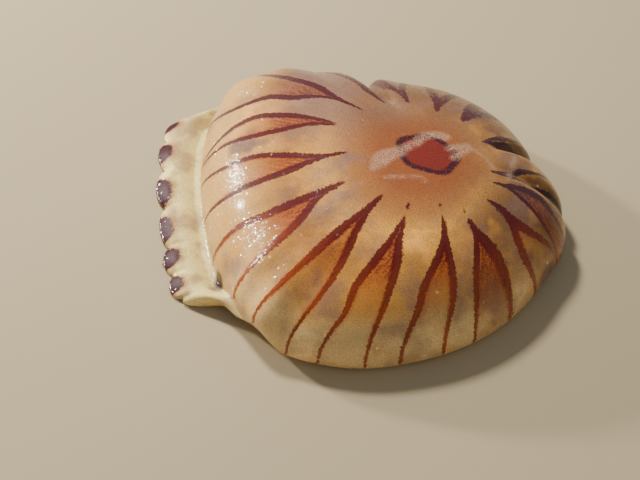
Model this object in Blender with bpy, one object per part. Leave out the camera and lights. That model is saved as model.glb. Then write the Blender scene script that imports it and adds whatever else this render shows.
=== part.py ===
"""Compass jellyfish, a sea nettle, lying stranded and bell up on a flat floor.

Metres, +Z up.  The origin is the middle of the animal's box, on the floor.

The bell is a low dome whose margin curls under and lies on the floor, apart
from one side where it is turned out as a brim.  Sixteen ribs, one for each V
mark, carry the plan of the bell: how far the dome reaches from the crown at
each rib, and how far the rib has been dragged round as the animal settled.
Everything under the bell, tentacles, mouth and oral arms, follows from them.
"""

import math

import bmesh
import bpy
from mathutils import Vector

# ---- driving dimensions (metres) -------------------------------------------

GAP = 0.0003                        # clearance between neighbouring pieces

CROWN = Vector((0.0341, 0.0017))   # plan position of the top of the bell
HEIGHT = 0.050                      # top of the bell above the floor

RIBS = 16
RIB_STEP = 2.0 * math.pi / RIBS
FIRST_RIB = math.radians(-40.0)     # direction of rib 0, seen from the crown
# Ribs 0 to 15, anticlockwise from the front right.
RIB_REACH_MM = (70, 71, 68, 62, 67, 74, 83, 105, 126, 117, 110, 110, 112, 103, 90, 78)
RIB_TURN_DEG = (2, -2, -5, -6, 3, 6, 6, 4, 4, 3, -1, -1, -5, -9, -11, -6)
RIB_TURN_AT_CROWN_DEG = (-5, -13, -20, -12, 6, 10, 12, 8, 0, -5, -8, -5, -3, 0, 4, -2)
TURN_CHANGES = (0.35, 0.95)         # shares of the reach between which the turn changes

PLAN_ROUNDNESS = 2.6                # superellipse powers of the dome's section
SHOULDER_ROUNDNESS = 2.0
CROWN_THICKNESS = 0.022
MARGIN_THICKNESS = 0.0045
LAPPET_THICKNESS = 0.0022
CROWN_DISC = 0.30                   # crown piece, as a share of the reach

HINGE_LENGTH = 0.009                # where the dome bends over into its margin
SKIRT_LENGTH = 0.0125               # margin down to the clefts
LAPPET_LENGTH = 0.007               # how far the lappets pass the clefts
LAPPETS = 32

BRIM_FROM = math.radians(137.0)     # the side where the margin is turned out
BRIM_TO = math.radians(216.0)
BRIM_SOFTNESS = math.radians(13.5)
FOLD_FULLNESS = 0.22                # length of the margin left at the brim's two ends
FOLD_WIDTH = math.radians(11.0)
BRIM_GATHER = 0.20                  # lappets drawn together along the brim
BRIM_ARCH = 0.0030

# Radial creases: direction, half width, sink, indent and where they begin.
CREASES = (
    (math.radians(112.0), math.radians(3.2), 0.50, 0.09, 0.38),
    (math.radians(20.0), math.radians(3.2), 0.42, 0.10, 0.45),
    (math.radians(-7.0), math.radians(3.5), 0.20, 0.02, 0.45),
)

OCTANTS = 8
COLUMNS = 12                        # sections between two rhopalia
DOME_ROWS = 7                       # rows of faces down the outside of the dome
CEILING_ROWS = (0, 2, 4, 6, 7)      # those of its levels that the underside keeps
MARGIN_RUNS = (0.5, 1.0, 1.5, 2.0)
CROWN_COLUMNS = 32
CROWN_RING = 0.45                   # inner ring of the crown piece, as a share

ARMS = 4
ARM_CENTRE = CROWN + Vector((-0.012, -0.002))
ARM_WIDTH = 0.0085
ARM_THICKNESS = 0.0030
ARM_EDGE = 0.30                     # half thickness of the edges, as a share
ARM_FRILL = 0.0012
ARM_FRILL_WAVES = 9
ARM_ROOT_SHARE = 0.62               # width at the mouth and at the tip, as shares
ARM_TIP_SHARE = 0.45
ARM_TAPER_FROM = 0.55
ARM_LANDING = 0.24                  # share of its length on which an arm comes down
ARM_FIRST = math.radians(40.0)
ARM_START_RADIUS = 0.0075
ARM_END_RADIUS = 0.0290
ARM_SPREAD = 0.85                   # power: below 1 an arm swings out early
ARM_SWEEP = math.radians(205.0)
ARM_STATIONS = 9                    # sections in each of an arm's three lengths

MOUTH_TOP_RADIUS = 0.0105
MOUTH_FOOT_RADIUS = 0.0078
MOUTH_FOOT_HEIGHT = 0.0135
MOUTH_WAIST = 0.16                  # how far the stalk is drawn in half way down
MOUTH_CORNERS = 0.13
MOUTH_LEVELS = 5
MOUTH_SIDES = 16

TENTACLE_RADIUS = 0.0011
TENTACLE_TIP_SHARE = 0.55           # tip radius against root radius
TENTACLE_INNER_RADIUS = 0.0335      # tentacles end this far from the arms' centre
TENTACLE_SWING = 0.30               # of the room between two tentacles
TENTACLE_PITCH = 0.0085             # shortest length of one bend and back
TENTACLE_POINTS = 11
TENTACLE_SWINGS = 1.5
LONG_TENTACLE_SWINGS = 3.0
TENTACLE_RUN = 1.55                 # place on the margin that tentacles grow from
CURLED_MARGIN = -0.40 * math.pi     # past this turn the lappets lie flat
BESIDE = 0.35 * RIB_STEP            # lappets this near a tentacle are cleared by it
BESIDE_STEPS = 4

# ---- small helpers -----------------------------------------------------------


def ease(start, end, value):
    """Smooth step from 0 at start to 1 at end."""
    t = min(max((value - start) / (end - start), 0.0), 1.0)
    return t * t * (3.0 - 2.0 * t)


def mix(a, b, share):
    return a + (b - a) * share


def wrapped(angle):
    """The angle brought between -pi and pi."""
    return (angle + math.pi) % (2.0 * math.pi) - math.pi


def around(values, position):
    """Smooth closed curve through evenly spaced values, read at a position."""
    count = len(values)
    index = math.floor(position)
    f = position - index
    a, b, c, d = (values[(index + k) % count] for k in (-1, 0, 1, 2))
    return 0.5 * (
        2.0 * b
        + (c - a) * f
        + (2.0 * a - 5.0 * b + 4.0 * c - d) * f * f
        + (3.0 * b - a - 3.0 * c + d) * f ** 3
    )


# ---- the bell's plan ---------------------------------------------------------


def rib_position(phi):
    return (phi - FIRST_RIB) / RIB_STEP


def reach(phi):
    """Distance from the crown to the widest line of the dome."""
    return around(RIB_REACH_MM, rib_position(phi)) / 1000.0


def plan_angle(phi, share):
    """Direction from the crown of meridian phi, at a share of its reach."""
    position = rib_position(phi)
    outer = math.radians(around(RIB_TURN_DEG, position))
    inner = math.radians(around(RIB_TURN_AT_CROWN_DEG, position))
    return phi + mix(inner, outer, ease(*TURN_CHANGES, share))


def brim_offset(angle):
    return wrapped(angle - 0.5 * (BRIM_FROM + BRIM_TO))


def flare(angle):
    """How the margin is turned: -1 curled under, +1 turned out as a brim."""
    half = 0.5 * (BRIM_TO - BRIM_FROM)
    off = abs(brim_offset(angle))
    return 1.0 - 2.0 * ease(half - BRIM_SOFTNESS, half + BRIM_SOFTNESS, off)


def fullness(angle):
    """The margin is drawn short where it folds over between curled and turned out."""
    half = 0.5 * (BRIM_TO - BRIM_FROM)
    off = abs(abs(brim_offset(angle)) - half)
    return mix(FOLD_FULLNESS, 1.0, ease(0.0, FOLD_WIDTH, off))


def gathered(angle, share):
    """Draw the brim's lappets together towards its middle."""
    off = brim_offset(angle)
    half = 0.5 * (BRIM_TO - BRIM_FROM)
    pull = BRIM_GATHER * share * (1.0 - ease(half, 2.0 * half, abs(off)))
    return angle - off * pull


def lappet(phi):
    """Outline of the scalloped margin: 0 in a cleft, 1 at a lappet's end."""
    f = (rib_position(phi) * LAPPETS / RIBS) % 1.0
    return math.sqrt(max(0.0, 1.0 - (2.0 * f - 1.0) ** 2))


def crease(angle, share):
    """Sink and indent of the radial creases at one place."""
    sink = 1.0
    indent = 1.0
    for direction, width, drop, pull, start in CREASES:
        g = math.exp(-((wrapped(angle - direction) / width) ** 2)) * ease(start, 1.0, share)
        sink *= 1.0 - drop * g
        indent *= 1.0 - pull * g
    return sink, indent


# ---- the bell's section ------------------------------------------------------


def margin(phi):
    """Turn, length and lift of the margin on meridian phi."""
    turn = flare(plan_angle(phi, 1.0))
    angle = turn * 0.5 * math.pi
    if abs(angle) < 0.001:
        angle = 0.001
    length = (SKIRT_LENGTH + LAPPET_LENGTH * lappet(phi)) * fullness(plan_angle(phi, 1.0))
    lift = (
        HINGE_LENGTH * math.sin(angle) / angle
        + length * math.cos(angle)
        + 0.5 * MARGIN_THICKNESS
    )
    return angle, length, lift


def dome_point(phi, a, depth):
    """Radius and height on the dome; a runs 0 to 90 degrees, depth 0 is outside."""
    lift = margin(phi)[2]
    width = reach(phi) - depth * MARGIN_THICKNESS
    rise = HEIGHT - depth * CROWN_THICKNESS - lift
    radius = width * math.sin(a) ** (2.0 / PLAN_ROUNDNESS)
    height = lift + rise * max(math.cos(a), 0.0) ** (2.0 / SHOULDER_ROUNDNESS)
    return radius, height


def margin_point(phi, run, depth):
    """Radius and height on the margin; run 0 to 1 is the hinge, 1 to 2 the skirt."""
    angle, length, lift = margin(phi)
    bend = angle * min(run, 1.0)
    curve = HINGE_LENGTH / angle
    radius = reach(phi) - 0.5 * MARGIN_THICKNESS + curve * (1.0 - math.cos(bend))
    height = lift - curve * math.sin(bend)
    along = max(run - 1.0, 0.0)
    thickness = mix(MARGIN_THICKNESS, LAPPET_THICKNESS, along)
    radius += math.sin(angle) * length * along
    height -= math.cos(angle) * length * along
    height -= abs(math.sin(angle)) * 0.5 * (MARGIN_THICKNESS - thickness)
    arch = BRIM_ARCH * max(flare(plan_angle(phi, 1.0)), 0.0)
    height += arch * math.sin(math.pi * min(along, 1.0))
    side = 0.5 - depth
    return radius + math.cos(bend) * thickness * side, height + math.sin(bend) * thickness * side


def placed(phi, radius, height, run):
    """World position of a section point, with the creases pressed in."""
    share = min(radius / reach(phi), 1.0)
    angle = plan_angle(phi, share)
    sink, indent = crease(angle, share)
    if run > 0.0:
        angle = gathered(angle, min(run, 2.0) / 2.0)
    radius *= indent
    return Vector((
        CROWN.x + radius * math.cos(angle),
        CROWN.y + radius * math.sin(angle),
        max(height * sink, 0.0),
    ))


def disc_edge_angle():
    """Dome angle where the crown piece ends."""
    return math.asin(CROWN_DISC ** (PLAN_ROUNDNESS / 2.0))


def bell_wall(phi, rows, depth):
    """Points down one face of the bell: over the dome and along the margin."""
    points = []
    for row in rows:
        a = mix(disc_edge_angle(), 0.5 * math.pi, row / DOME_ROWS)
        points.append(placed(phi, *dome_point(phi, a, depth), 0.0))
    for run in MARGIN_RUNS:
        points.append(placed(phi, *margin_point(phi, run, depth), run))
    return points


def bell_section(phi):
    """Closed loop of points: out over the dome, round the lappet and back inside."""
    outside = bell_wall(phi, range(DOME_ROWS + 1), 0.0)
    inside = bell_wall(phi, CEILING_ROWS, 1.0)
    return outside + inside[::-1]


def bell_end_faces():
    """Faces that close a cut through the bell, as places in its loop of points."""
    margin_rows = [DOME_ROWS + 1 + k for k in range(len(MARGIN_RUNS))]
    opposite = [*CEILING_ROWS, *margin_rows]
    last = margin_rows[-1] + len(opposite)
    faces = []
    for k, (near, far) in enumerate(zip(opposite, opposite[1:])):
        faces.append((*range(near, far + 1), last - k - 1, last - k))
    return faces


# ---- building blocks ---------------------------------------------------------


def finish(name, mesh_or_curve, collection, material):
    """Make an object of the data, with its material, in the animal's collection."""
    obj = bpy.data.objects.new(name, mesh_or_curve)
    mesh_or_curve.materials.append(material)
    collection.objects.link(obj)
    return obj


def smooth_mesh(name, bm):
    """Turn the bmesh into a mesh with its faces out and its sides shaded smooth."""
    bmesh.ops.recalc_face_normals(bm, faces=bm.faces[:])
    mesh = bpy.data.meshes.new(name)
    bm.to_mesh(mesh)
    bm.free()
    mesh.shade_smooth()
    mesh.set_sharp_from_angle(angle=math.radians(50.0))
    return mesh


def loft(name, sections, end_faces=None):
    """Closed body through a row of closed sections; end_faces says how its ends close."""
    bm = bmesh.new()
    rings = [[bm.verts.new(point) for point in section] for section in sections]
    for near, far in zip(rings, rings[1:]):
        for k in range(len(near)):
            after = (k + 1) % len(near)
            bm.faces.new((near[k], near[after], far[after], far[k]))
    for ring in (rings[0], rings[-1]):
        for places in end_faces or [range(len(ring))]:
            bm.faces.new([ring[k] for k in places])
    bmesh.ops.triangulate(bm, faces=bm.faces[:])
    return smooth_mesh(name, bm)


def plain_material(name, colour, roughness):
    """Principled finish with no metal in it."""
    material = bpy.data.materials.new(name)
    material.use_nodes = True
    shader = material.node_tree.nodes["Principled BSDF"]
    shader.inputs["Base Color"].default_value = (*colour, 1.0)
    shader.inputs["Roughness"].default_value = roughness
    shader.inputs["Metallic"].default_value = 0.0
    return material


# ---- bell --------------------------------------------------------------------


def build_crown(collection, material):
    """The thick middle of the bell, under the dark centre spot."""
    edge = disc_edge_angle()
    bm = bmesh.new()
    rings = []
    inner = CROWN_RING * edge
    for depth, a in ((0.0, inner), (0.0, edge), (1.0, edge), (1.0, inner)):
        ring = []
        for column in range(CROWN_COLUMNS):
            phi = FIRST_RIB + 2.0 * math.pi * column / CROWN_COLUMNS
            radius, height = dome_point(phi, a, depth)
            ring.append(bm.verts.new(placed(phi, radius - GAP, height, 0.0)))
        rings.append(ring)
    top = bm.verts.new((CROWN.x, CROWN.y, HEIGHT))
    ceiling = bm.verts.new((CROWN.x, CROWN.y, HEIGHT - CROWN_THICKNESS))
    for column in range(CROWN_COLUMNS):
        after = (column + 1) % CROWN_COLUMNS
        bm.faces.new((top, rings[0][column], rings[0][after]))
        bm.faces.new((ceiling, rings[3][after], rings[3][column]))
        for near, far in zip(rings, rings[1:]):
            bm.faces.new((near[column], far[column], far[after], near[after]))
    finish("bell_crown", smooth_mesh("bell_crown", bm), collection, material)


def build_octant(number, collection, material):
    """One eighth of the bell, from rhopalium to rhopalium, with four lappets."""
    start = FIRST_RIB + 0.5 * RIB_STEP + number * 2.0 * RIB_STEP
    sections = []
    for column in range(COLUMNS + 1):
        phi = start + 2.0 * RIB_STEP * column / COLUMNS
        points = bell_section(phi)
        inward = {0: 1.0, COLUMNS: -1.0}.get(column, 0.0)
        if inward:
            for point in points:
                spoke = (point.xy - CROWN).normalized()
                point.xy += Vector((-spoke.y, spoke.x)) * 0.5 * GAP * inward
        sections.append(points)
    name = f"bell_octant_{number + 1}"
    finish(name, loft(name, sections, bell_end_faces()), collection, material)


# ---- mouth and oral arms -----------------------------------------------------


def build_manubrium(collection, material):
    """Four-cornered stalk of the mouth, leaning from the ceiling to the arms."""
    top_height = HEIGHT - CROWN_THICKNESS - 2.0 * GAP
    sections = []
    for level in range(MOUTH_LEVELS):
        t = level / (MOUTH_LEVELS - 1)
        centre = CROWN.lerp(ARM_CENTRE, ease(0.0, 1.0, t))
        height = mix(top_height, MOUTH_FOOT_HEIGHT, t)
        waist = mix(MOUTH_TOP_RADIUS, MOUTH_FOOT_RADIUS, t)
        waist *= 1.0 - MOUTH_WAIST * math.sin(math.pi * t)
        ring = []
        for k in range(MOUTH_SIDES):
            angle = 2.0 * math.pi * k / MOUTH_SIDES
            radius = waist * (1.0 + MOUTH_CORNERS * math.cos(ARMS * (angle - ARM_FIRST)))
            ring.append(Vector((
                centre.x + radius * math.cos(angle),
                centre.y + radius * math.sin(angle),
                height,
            )))
        sections.append(ring)
    finish("manubrium", loft("manubrium", sections), collection, material)


def arm_frame(number, t):
    """Centre, heading and width of an oral arm; t runs 0 at the mouth to 1."""
    angle = ARM_FIRST + 2.0 * math.pi * number / ARMS + ARM_SWEEP * t
    radius = mix(ARM_START_RADIUS, ARM_END_RADIUS, t ** ARM_SPREAD)
    bed = ARM_EDGE * ARM_THICKNESS + ARM_FRILL
    high = MOUTH_FOOT_HEIGHT - 0.5 * ARM_THICKNESS - GAP
    height = mix(high, bed, ease(0.0, ARM_LANDING, t))
    centre = Vector((
        ARM_CENTRE.x + radius * math.cos(angle),
        ARM_CENTRE.y + radius * math.sin(angle),
        height,
    ))
    across = Vector((math.cos(angle), math.sin(angle), 0.0))
    width = ARM_WIDTH * mix(ARM_ROOT_SHARE, 1.0, ease(0.0, ARM_LANDING, t))
    width *= mix(1.0, ARM_TIP_SHARE, ease(ARM_TAPER_FROM, 1.0, t))
    return centre, across, width


def arm_section(number, t):
    """Six-sided slice of an arm: a thick midrib and two thin frilled edges."""
    centre, across, width = arm_frame(number, t)
    up = Vector((0.0, 0.0, 1.0))
    wave = math.sin(2.0 * math.pi * t * ARM_FRILL_WAVES + number)
    frill = ARM_FRILL * ease(0.05, ARM_LANDING, t)
    half = 0.5 * width
    edge = ARM_EDGE * ARM_THICKNESS
    rib = 0.5 * ARM_THICKNESS
    return [
        centre - across * half + up * (frill * wave + edge),
        centre - across * half + up * (frill * wave - edge),
        centre - up * rib,
        centre + across * half + up * (-frill * wave - edge),
        centre + across * half + up * (-frill * wave + edge),
        centre + up * rib,
    ]


def build_arm(number, collection, material):
    """Oral arm in three lengths, laid out round the mouth on the floor."""
    names = ("upper", "middle", "tip")
    total = ARM_SWEEP * 0.5 * (ARM_START_RADIUS + ARM_END_RADIUS)
    slit = GAP / total
    for k, name in enumerate(names):
        start = k / 3 + (slit if k else 0.0)
        end = (k + 1) / 3 - (slit if k < 2 else 0.0)
        stations = [mix(start, end, i / (ARM_STATIONS - 1)) for i in range(ARM_STATIONS)]
        sections = [arm_section(number, t) for t in stations]
        title = f"oral_arm_{number + 1}_{name}"
        finish(title, loft(title, sections), collection, material)


# ---- tentacles ---------------------------------------------------------------


def from_arms(point):
    """Plan distance of a point from the middle of the oral arms."""
    return (point.xy - ARM_CENTRE).length


def tentacle_root(phi):
    """Where a tentacle leaves the margin, and how near the lappets come to the arms."""
    steps = range(-BESIDE_STEPS, BESIDE_STEPS + 1)
    neighbours = [phi + BESIDE * k / BESIDE_STEPS for k in steps]
    if margin(phi)[0] < CURLED_MARGIN:
        tips = [placed(near, *margin_point(near, 2.0, 1.0), 2.0) for near in neighbours]
        root = placed(phi, *margin_point(phi, TENTACLE_RUN, 1.0), TENTACLE_RUN)
        root.z = MARGIN_THICKNESS + GAP + TENTACLE_RADIUS
        return root, min(from_arms(tip) for tip in tips) - TENTACLE_RADIUS
    inside = []
    for near in neighbours:
        for run in (0.0, 0.25, 0.75, *MARGIN_RUNS):
            for depth in (0.0, 1.0):
                point = placed(near, *margin_point(near, run, depth), run)
                if point.z < 4.0 * TENTACLE_RADIUS:
                    inside.append(from_arms(point))
    foot = placed(phi, *margin_point(phi, 0.5, 1.0), 0.5)
    heading = (foot.xy - ARM_CENTRE).normalized()
    distance = min(inside) - GAP
    spot = ARM_CENTRE + heading * distance
    return Vector((spot.x, spot.y, TENTACLE_RADIUS)), distance - TENTACLE_RADIUS


def bearing(phi):
    """Direction of a tentacle's root, seen from the middle of the arms."""
    offset = tentacle_root(phi)[0].xy - ARM_CENTRE
    return math.atan2(offset.y, offset.x)


def tentacle_path(phi, swings, count):
    """Points of a tentacle: over the lappets, down to the floor, then in bends."""
    root, clear = tentacle_root(phi)
    own = bearing(phi)
    step = 2.0 * math.pi / LAPPETS
    room = min(abs(wrapped(bearing(phi + side * step) - own)) for side in (-1.0, 1.0))
    heading = Vector((math.cos(own), math.sin(own)))
    sideways = Vector((-heading.y, heading.x))
    ledge = ARM_CENTRE + heading * clear
    points = [root, Vector((ledge.x, ledge.y, root.z))]
    start = clear - 3.0 * TENTACLE_RADIUS
    swings = min(swings, 0.5 * round(2.0 * (start - TENTACLE_INNER_RADIUS) / TENTACLE_PITCH))
    bends = count - len(points)
    for i in range(bends):
        t = i / (bends - 1)
        distance = mix(start, TENTACLE_INNER_RADIUS, t)
        swing = TENTACLE_SWING * room * distance * math.sin(2.0 * math.pi * swings * t)
        spot = ARM_CENTRE + heading * distance + sideways * swing
        points.append(Vector((spot.x, spot.y, TENTACLE_RADIUS)))
    return points


def build_tentacle(name, points, first_share, last_share, collection, material):
    """Tapering tube through the points."""
    curve = bpy.data.curves.new(name, "CURVE")
    curve.dimensions = "3D"
    curve.bevel_depth = TENTACLE_RADIUS
    curve.bevel_resolution = 1
    curve.use_fill_caps = True
    spline = curve.splines.new("POLY")
    spline.points.add(len(points) - 1)
    for i, point in enumerate(points):
        spline.points[i].co = (*point, 1.0)
        spline.points[i].radius = mix(first_share, last_share, i / (len(points) - 1))
    spline.use_smooth = True
    finish(name, curve, collection, material)


def build_tentacles(collection, material):
    """Three tentacles in each octant; the middle one is longer, in two lengths."""
    half_share = 0.5 * (1.0 + TENTACLE_TIP_SHARE)
    for octant in range(OCTANTS):
        start = FIRST_RIB + 0.5 * RIB_STEP + octant * 2.0 * RIB_STEP
        for place, letter in enumerate("abc"):
            phi = start + (place + 1) * 0.5 * RIB_STEP
            name = f"tentacle_{octant + 1}{letter}"
            if letter != "b":
                points = tentacle_path(phi, TENTACLE_SWINGS, TENTACLE_POINTS)
                build_tentacle(name, points, 1.0, TENTACLE_TIP_SHARE, collection, material)
                continue
            points = tentacle_path(phi, LONG_TENTACLE_SWINGS, 2 * (TENTACLE_POINTS - 1))
            before, after = points[TENTACLE_POINTS - 2:TENTACLE_POINTS]
            middle = 0.5 * (before + after)
            slit = 0.5 * GAP * (after - before).normalized()
            near = [*points[:TENTACLE_POINTS - 1], middle - slit]
            far = [middle + slit, *points[TENTACLE_POINTS - 1:]]
            build_tentacle(name + "_root", near, 1.0, half_share, collection, material)
            build_tentacle(name + "_end", far, half_share, TENTACLE_TIP_SHARE, collection, material)


# ---- the whole animal --------------------------------------------------------


def main():
    for obj in list(bpy.data.objects):
        bpy.data.objects.remove(obj, do_unlink=True)
    animal = bpy.data.collections.new("compass_jellyfish")
    bpy.context.scene.collection.children.link(animal)

    bell = plain_material("bell_jelly", (0.42, 0.20, 0.08), 0.12)
    crown = plain_material("crown_jelly", (0.38, 0.13, 0.05), 0.12)
    arm = plain_material("oral_arm_jelly", (0.55, 0.42, 0.30), 0.25)
    tentacle = plain_material("tentacle_jelly", (0.34, 0.10, 0.05), 0.25)

    build_crown(animal, crown)
    for number in range(OCTANTS):
        build_octant(number, animal, bell)
    build_manubrium(animal, arm)
    for number in range(ARMS):
        build_arm(number, animal, arm)
    build_tentacles(animal, tentacle)


main()
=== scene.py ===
"""Looks of a stranded compass jellyfish: wet bell with its V marks, mouth arms and tentacles.

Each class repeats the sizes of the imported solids, in metres, and builds the fine surface
that stands for them. The bell's low swellings, its uneven lappets and its sense organs are
only here.
"""

import functools
import logging
import math
from dataclasses import dataclass, field
from enum import Enum

import bpy
import numpy as np
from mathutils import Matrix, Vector


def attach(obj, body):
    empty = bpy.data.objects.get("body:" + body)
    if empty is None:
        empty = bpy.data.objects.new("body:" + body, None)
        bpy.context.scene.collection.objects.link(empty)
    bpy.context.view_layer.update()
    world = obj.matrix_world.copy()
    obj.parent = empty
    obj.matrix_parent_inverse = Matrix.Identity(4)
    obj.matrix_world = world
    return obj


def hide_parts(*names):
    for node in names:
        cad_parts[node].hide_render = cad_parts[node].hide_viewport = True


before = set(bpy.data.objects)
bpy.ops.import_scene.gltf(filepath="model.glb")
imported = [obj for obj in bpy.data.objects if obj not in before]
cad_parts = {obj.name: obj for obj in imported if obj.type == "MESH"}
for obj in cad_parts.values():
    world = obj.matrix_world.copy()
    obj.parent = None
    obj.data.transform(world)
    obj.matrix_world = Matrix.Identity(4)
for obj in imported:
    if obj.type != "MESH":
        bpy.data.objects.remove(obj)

LOG = logging.getLogger("jellyfish")
MM = 0.001
OCTANTS = 8

Array = np.ndarray
Numbers = np.ndarray | float
Socket = bpy.types.NodeSocket
Paint = tuple[float, ...]
Pair = tuple[float, float]
Triple = tuple[float, float, float]


class Slot(Enum):
    """Material slots of the record."""

    BELL = "bell_jelly"
    CROWN = "crown_jelly"
    ARM = "oral_arm_jelly"
    TENTACLE = "tentacle_jelly"


# ---- small helpers -----------------------------------------------------------


def ease(start: float, end: float, value: Numbers) -> Array:
    """Smooth step from 0 at start to 1 at end."""
    t = np.clip((np.asarray(value, float) - start) / (end - start), 0.0, 1.0)
    return t * t * (3.0 - 2.0 * t)


def mix(a: Numbers, b: Numbers, share: Numbers) -> Numbers:
    """Blend from a to b by a share."""
    return a + (b - a) * share


def wrapped(angle: Numbers) -> Numbers:
    """Bring an angle between -pi and pi."""
    return (angle + math.pi) % (2.0 * math.pi) - math.pi


def between(a: Array, b: Array, c: Array, d: Array, f: Array) -> Array:
    """Read a smooth curve between b and c, with neighbours a and d, at a share f."""
    square = (2.0 * a - 5.0 * b + 4.0 * c - d) * f**2
    return 0.5 * (2.0 * b + (c - a) * f + square + (3.0 * b - a - 3.0 * c + d) * f**3)


def around(values: tuple[float, ...], position: Numbers) -> Array:
    """Read a smooth closed curve through evenly spaced values.

    Args:
        values: the values, one at each whole position.
        position: where to read the curve, in steps.

    Returns:
        The curve's value at each position.
    """
    position = np.asarray(position, float)
    table = np.asarray(values, float)
    index = np.floor(position).astype(int)
    f = position - index
    a, b, c, d = (table[(index + k) % len(table)] for k in (-1, 0, 1, 2))
    return between(a, b, c, d, f)


def spline(points: Array, count: int) -> Array:
    """Draw a smooth open curve through points.

    Args:
        points: the points, one to a row.
        count: how many points to read along the curve.

    Returns:
        The points of the curve, one to a row.
    """
    padded = np.vstack([2.0 * points[0] - points[1], points, 2.0 * points[-1] - points[-2]])
    position = np.linspace(0.0, len(points) - 1.0, count)
    index = np.minimum(position.astype(int), len(points) - 2)
    f = (position - index)[:, None]
    a, b, c, d = (padded[index + k] for k in range(4))
    return between(a, b, c, d, f)


def paint(*chip: int) -> Paint:
    """Turn a paint chip's red, green and blue, 0 to 255, into the linear colour of a shader."""
    shares = (c / 255.0 for c in chip)
    return (*(c / 12.92 if c <= 0.04045 else ((c + 0.055) / 1.055) ** 2.4 for c in shares), 1.0)


def make_object(name: str, points: Array, faces: list,
                material: bpy.types.Material) -> bpy.types.Object:
    """Make a smooth mesh object and put it in the scene.

    Args:
        name: the object's name.
        points: its points, one to a row.
        faces: lists of point numbers.
        material: its finish.

    Returns:
        The new object.
    """
    mesh = bpy.data.meshes.new(name)
    mesh.from_pydata(points.tolist(), [], faces)
    mesh.materials.append(material)
    mesh.shade_smooth()
    obj = bpy.data.objects.new(name, mesh)
    bpy.context.scene.collection.objects.link(obj)
    return obj


def grid_faces(rows: int, columns: int, closed: bool) -> list[tuple[int, int, int, int]]:
    """List the quads of a grid of points.

    Args:
        rows: rows of points.
        columns: points in a row.
        closed: whether each row runs round to its start.

    Returns:
        The quads, as point numbers.
    """
    last = columns if closed else columns - 1
    return [
        (r * columns + c, r * columns + (c + 1) % columns,
         (r + 1) * columns + (c + 1) % columns, (r + 1) * columns + c)
        for r in range(rows - 1)
        for c in range(last)
    ]


def tube_faces(first: int, rings: int, sides: int) -> list[tuple[int, ...]]:
    """List the faces of a closed tube, its two ends included.

    Args:
        first: number of the tube's first point.
        rings: rings of points along it.
        sides: points in a ring.

    Returns:
        The faces, as point numbers.
    """
    end = first + (rings - 1) * sides
    body = [tuple(first + k for k in face[::-1]) for face in grid_faces(rings, sides, True)]
    return [*body, tuple(range(first, first + sides)), tuple(range(end, end + sides))[::-1]]


# ---- form of the bell --------------------------------------------------------


@dataclass(frozen=True)
class Crease:
    """A radial fold pressed into the bell."""

    direction: float
    width: float
    sink: float
    indent: float
    start: float


@dataclass(frozen=True)
class Swelling:
    """A low round rise of the bell."""

    middle: Pair
    radius: float
    rise: float


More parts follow.
